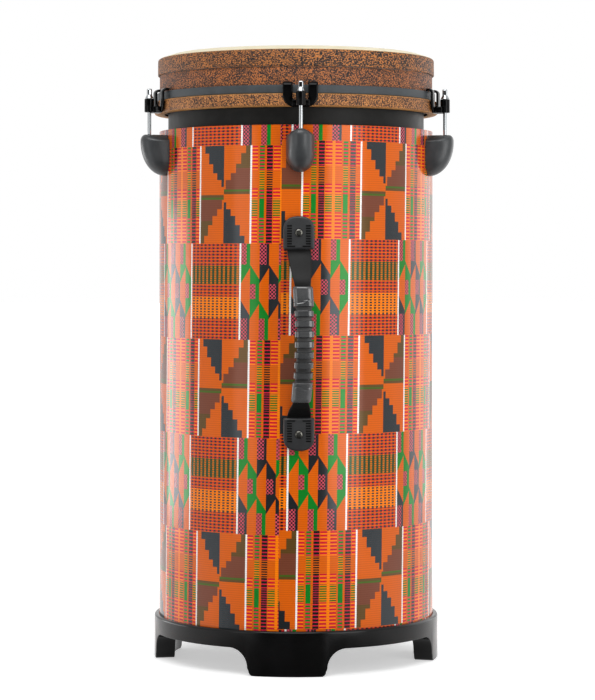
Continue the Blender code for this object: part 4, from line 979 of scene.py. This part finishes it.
# handle: two caps screwed to the shell, a vinyl strap between them and a ribbed grip moulded on it
handle = {
    "middle": 373.8, "turn": math.radians(-0.6), "sway": 5.6, "bed": 157.6, "drop": 11.4, "crown": 8.0,
    "rises": {1: 19.7, -1: 15.7}, "capEdge": 91.7, "screw": 109.7, "circle": 32,
    # strap
    "strapThick": 3.0, "strapEase": 0.1, "strapRound": 0.9, "strapTail": 11.0, "strapSteps": 60, "tuck": 3.0,
    "legGap": 0.3, "neckHalf": 8.5, "strapHalf": 13.0, "slopeStep": 0.05,
    # grip
    "gripEnd": 63.0, "gripHalf": 11.1, "gripThick": 6.5, "gripSquare": 0.76, "gripPlain": 24.6,
    "gripRows": 420, "gripSides": 48, "ribs": 8, "ribGap": 5.2, "ribDepth": 2.3, "ribWall": 0.4,
    "ribStep": 0.6, "endRound": 4.0, "endDepth": 2.0, "crease": 17.0, "creaseFrom": 0.3,
    "creaseWave": (1.6, 4.0), "creaseDrift": (1.2, 3.0), "creaseDepth": 0.55, "creaseWide": 0.7,
    # caps, and the grooves on them
    "capHalf": 17.0, "capFront": 18.0, "capBack": 18.0, "shoulder": 16.0, "capSquare": 0.8, "capTop": 165.1,
    "capRound": 2.2, "capCorner": 1.6, "leastCorner": 0.2, "roofUnder": 160.9, "pocketGap": 0.3,
    "pocketDeep": 12.0, "pocketAhead": 2.0, "sink": (0.7, 3.0), "lines": 9, "linePitch": 2.78,
    "firstLine": 3.2, "lineWide": 1.65, "lineDepth": 2.2, "lineAbove": 4.0, "lineInset": 4.1,
    "lineLength": 5.4, "longLine": 8.9, "ringClear": 1.2, "markFrom": 0.05, "markSlack": 0.1,
    # screws
    "screwHead": 4.15, "screwRise": 2.2, "screwRing": 5.0, "screwSink": 0.4, "screwSide": 0.8, "shank": 2.4,
    "shankFrom": 140.0, "recess": (2.7, 0.6, 1.4), "recessAbove": 1.0,
}


def legStart(side):
    # where a strap leg leaves the grip, from the middle of the handle
    return handle["gripEnd"] + handle["legGap"] - side * handle["drop"]


def strapMiddle(z):
    # sideways slack and distance from the axis of the strap's middle, z above the handle's middle
    h = handle
    along = z + h["drop"]
    side = 1 if along > 0 else -1
    upper, lower = h["rises"][1], h["rises"][-1]
    if abs(along) < h["gripEnd"]:
        lean = (upper - lower) * along / h["gripEnd"]
        rise = (upper + lower + lean) / 2 + h["crown"] * math.cos(math.pi * along / (2 * h["gripEnd"])) ** 2
    else:
        rise = h["rises"][side] * smooth((h["capEdge"] - abs(z)) / (h["capEdge"] - legStart(side)))
    return h["sway"] * max(0.0, 1 - (z / h["capEdge"]) ** 2), h["bed"] + h["strapThick"] / 2 + rise


def acrossStrap(z, section):
    # a cross-section of (sideways, thickness) points set square to the strap
    h, step = handle, handle["slopeStep"]
    sway, out = strapMiddle(z)
    slope = (strapMiddle(z + step)[1] - strapMiddle(z - step)[1]) / (2 * step)
    n = math.hypot(1, slope)
    return [spot(sway + x, out + t / n, h["middle"] + z - t * slope / n, h["turn"]) for x, t in section]


def gripShape():
    h, rows = handle, handle["gripRows"]
    ribbed = h["gripEnd"] - h["gripPlain"]
    middles = [ribbed * (2 * i / (h["ribs"] - 1) - 1) for i in range(h["ribs"])]
    oval = fullOval(h["gripSides"], h["gripSquare"], h["gripSquare"])
    wave, waves = h["creaseWave"]
    drift, drifts = h["creaseDrift"]
    loops, depths = [], []
    for k in range(rows + 1):
        along = h["gripEnd"] * (2 * k / rows - 1)
        near = min(abs(along - middle) for middle in middles) / (h["ribGap"] / 2)
        groove = smooth((1 - near) / h["ribWall"])
        sunk = h["ribDepth"] * groove + (h["ribStep"] if abs(along) < ribbed else 0.0)
        sunk += h["endDepth"] * (1 - rounded((h["gripEnd"] - abs(along)) / h["endRound"]))
        section = []
        for x, t in oval:
            fold = 0.0
            if t > h["creaseFrom"]:  # creases where the vinyl shrank near both ends
                off = abs(along) - (h["gripEnd"] - h["crease"]) - wave * math.sin(x * waves)
                off += drift * noise.noise((x * drifts, 0.3, 0.7))
                fold = h["creaseDepth"] * math.exp(-(off / h["creaseWide"]) ** 2)
            section.append((x * (h["gripHalf"] - sunk), t * (h["gripThick"] - sunk - fold)))
        loops.append(acrossStrap(along - h["drop"], section))
        # how far each point lies in a groove, stored for the painted shade in the grooves
        depths += [groove] * len(oval)
    bm = skin(loops)
    mark = bm.verts.layers.float.new("paintedGrooveShade")
    for vert, depth in zip(bm.verts, depths):
        vert[mark] = depth
    return bm


def strapShape(side):
    h, start = handle, legStart(side)
    first, end = start - h["tuck"], h["screw"] + h["strapTail"]
    thick = h["strapThick"] / 2 - h["strapEase"]
    loops = []
    for run in sweep(h["strapSteps"], end - first):
        run += first
        widened = math.sin(math.pi / 2 * share((run - start) / (h["capEdge"] - start)))
        half = h["neckHalf"] + (h["strapHalf"] - h["neckHalf"]) * widened
        corners = [(-half, -thick), (half, -thick), (half, thick), (-half, thick)]
        loops.append(acrossStrap(side * run, eased(corners, [h["strapRound"]] * 4, 3)))
    return skin(loops)


# one tree cuts a row of grooves into a cap, both sides at once
grooveTree, given = startTree("groovesAlongCap", (("Cap", "Geometry"), ("Cutter", "Object"),
                                                  ("Grooves", "Int"), ("Pitch", "Float"),
                                                  ("Finish", "Material")))
step = addNode(grooveTree, "ShaderNodeCombineXYZ", {"Z": given["Pitch"]})
spots = addNode(grooveTree, "GeometryNodeMeshLine", {"Count": given["Grooves"], "Offset": step})
tool = addNode(grooveTree, "GeometryNodeObjectInfo", {"Object": given["Cutter"], "As Instance": True})
tools = addNode(grooveTree, "GeometryNodeInstanceOnPoints", {"Points": spots,
                                                             "Instance": tool.outputs["Geometry"]})
tools = addNode(grooveTree, "GeometryNodeRealizeInstances", {0: tools})
whole = addNode(grooveTree, "GeometryNodeMeshBoolean", {"Mesh 1": given["Cap"], "Mesh 2": tools},
                operation="DIFFERENCE", solver="EXACT")
endTree(grooveTree, whole, given["Finish"])


def screwCircle(centre, radius, out):
    turn, turns = handle["turn"], turnsOf(handle["circle"])
    return [spot(radius * math.cos(t), out, centre + radius * math.sin(t), turn) for t in turns]


def capOutline(side, inset):
    h = handle
    half, front = h["capHalf"] - inset, inset - h["capFront"]
    corner = max(h["capCorner"] - inset, h["leastCorner"])
    corners = [(-half, front), (half, front), (half, 0.0), (-half, 0.0)]
    made = eased(corners, [corner, corner, 0.0, 0.0], 3)[:8]  # only the two rounded corners
    for a in sweep(h["circle"], math.pi):
        z = h["capBack"] - h["shoulder"] + (h["shoulder"] - inset) * bulged(math.sin(a), h["capSquare"])
        made.append((half * bulged(math.cos(a), h["capSquare"]), z))
    return [(x, h["middle"] + side * (h["screw"] + z)) for x, z in made]


def capLines(z, length):
    # cutters for one groove on each side of a cap
    h = handle
    outer, half = h["capHalf"] - h["lineInset"], h["lineWide"] / 2
    outs = (h["capTop"] - h["lineDepth"], h["capTop"] + h["lineAbove"])
    return [block(sorted((sign * outer, sign * (outer - length))), outs, (z - half, z + half), h["turn"])
            for sign in (-1, 1)]


def capShape(side, finish):
    h, turn, top = handle, handle["turn"], handle["capTop"]
    loops = [[spot(x, math.sqrt(h["bed"] ** 2 - x * x), z, turn) for x, z in capOutline(side, 0.0)]]
    for a in sweep(5):
        out = top - h["capRound"] * (1 - math.sin(a))
        loops.append([spot(x, out, z, turn) for x, z in capOutline(side, h["capRound"] * (1 - math.cos(a)))])
    centre = h["middle"] + side * h["screw"]
    first = centre - side * (h["capFront"] - h["firstLine"])
    half = h["strapHalf"] + h["pocketGap"]
    back = centre + side * (h["strapTail"] + h["pocketGap"])
    ahead = centre - side * (h["capFront"] + h["pocketAhead"])
    pocket = block((-half, half), (h["bed"] - h["pocketDeep"], h["roofUnder"]), sorted((back, ahead)), turn)
    below, above = h["sink"]
    sink = skin([screwCircle(centre, h["screwRing"], out) for out in (top - below, top + above)])
    solid = cutBy(skin(loops), joinedUp(pocket, sink, *capLines(first, h["longLine"])))
    lines = joinedUp(*capLines(first + side * h["linePitch"], h["lineLength"]))
    cutter = linked("work", toMesh("work", lines))
    values = {"Cutter": cutter, "Grooves": h["lines"] - 1, "Pitch": side * h["linePitch"] / 1000}
    mesh = grown(grooveTree, toMesh("cap", solid), {**values, "Finish": finish})
    bpy.data.meshes.remove(cutter.data)
    # marks the floors and walls of the grooves, where the cap's material paints shade
    mark = mesh.attributes.new("paintedGrooveShade", "FLOAT", "FACE")
    last = first + side * h["linePitch"] * (h["lines"] - 1)
    low, high = sorted((first - side * h["lineWide"], last + side * h["lineWide"]))
    slack = h["markSlack"]
    for face, value in zip(mesh.polygons, mark.data):
        x, y = face.center.x * 1000, (face.center.y - axisY) * 1000
        across = abs(x * math.cos(turn) + y * math.sin(turn))
        deep = top - (x * math.sin(turn) - y * math.cos(turn))
        sunk = h["markFrom"] < deep < h["lineDepth"] + slack and low < face.center.z * 1000 < high
        beside = h["screwRing"] - h["ringClear"] < across < h["capHalf"] - h["lineInset"] + slack
        value.value = float(sunk and beside)
    return mesh


def screwShape(side):
    # pan head with a cross recess, its shank through the cap
    h, turn, head = handle, handle["turn"], handle["screwHead"]
    centre = h["middle"] + side * h["screw"]
    seat = h["capTop"] - h["screwSink"]
    rim, crown = seat + h["screwSide"], seat + h["screwRise"]
    levels = [(h["shank"], h["shankFrom"]), (h["shank"], seat), (head, seat), (head, rim)]
    levels += [(head * math.cos(a), rim + (crown - rim) * math.sin(a)) for a in sweep(8)[1:-1]]
    made = skin([screwCircle(centre, radius, out) for radius, out in levels])
    long, wide, sunk = h["recess"]
    for across, up in ((long, wide), (wide, long)):
        made = cutBy(made, block((-across, across), (crown - sunk, crown + h["recessAbove"]),
                                 (centre - up, centre + up), turn))
    return made


# dipped vinyl: dark grey, glossy, with soft upright lights broken by the ribs, and painted shade in the
# grooves
gripVinyl = grained("dippedVinylGrip", "#343536", "#424344", 0.8, 0.18, 0.10, ("paintedGrooveShade", "#080808", 0.6),
                    Specular_IOR_Level=0.9)
# pressed vinyl strap: dark and even, a little dull
strapVinyl = grained("pressedVinylStrap", "#0c0c0c", "#131313", 1.1, 0.50, 0.20, Specular_IOR_Level=0.2)
# spark-textured nylon: black, finely pebbled, with painted shade in its grooves
capNylon = grained("sparkTexturedNylon", "#1d1e20", "#28292b", 0.8, 0.46, 0.35,
                   ("paintedGrooveShade", "#040404", 0.9))
# nickel-plated screw: warm grey metal, softly bright
nickel = grained("nickelPlatedScrew", "#55544f", "#75746e", 0.8, 0.26, 0.05, Metallic=1.0)
putOn("ribbedGrip", gripShape(), gripVinyl, "grip", ["handle_grip"], crease=40)
for word, side in (("Upper", 1), ("Lower", -1)):
    h, low = handle, word.lower()
    strap = putOn("strap" + word, strapShape(side), strapVinyl, None, ["handle_strap_" + low],
                  crease=50)
    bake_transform(strap)
    putOn("cap" + word, capShape(side, capNylon), capNylon, "shell", ["handle_cap_" + low],
          crease=30)
    putOn("capScrew" + word, screwShape(side), nickel, "shell", ["handle_screw_" + low])
print("handle made")

# small CAD hardware stays as it is, with better finishes
# zinc plate on steel: cool grey, dull and a little uneven
zinc = grained("zincPlatedSteel", "#8d9093", "#adb0b3", 0.6, 0.32, 0.10, Metallic=1.0)
# black zinc on brass: dark and oily
blackZinc = grained("blackZincInsert", "#1c1c1d", "#2a2a2b", 0.5, 0.35, 0.08, Metallic=1.0)
dressed = {"lug_bolt": zinc, "base_screw": zinc, "handle_nut": zinc, "lug_insert": blackZinc}
for name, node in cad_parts.items():
    for start, finish in dressed.items():
        if name.startswith(start):
            node.data.materials.clear()
            node.data.materials.append(finish)
print("hardware dressed")
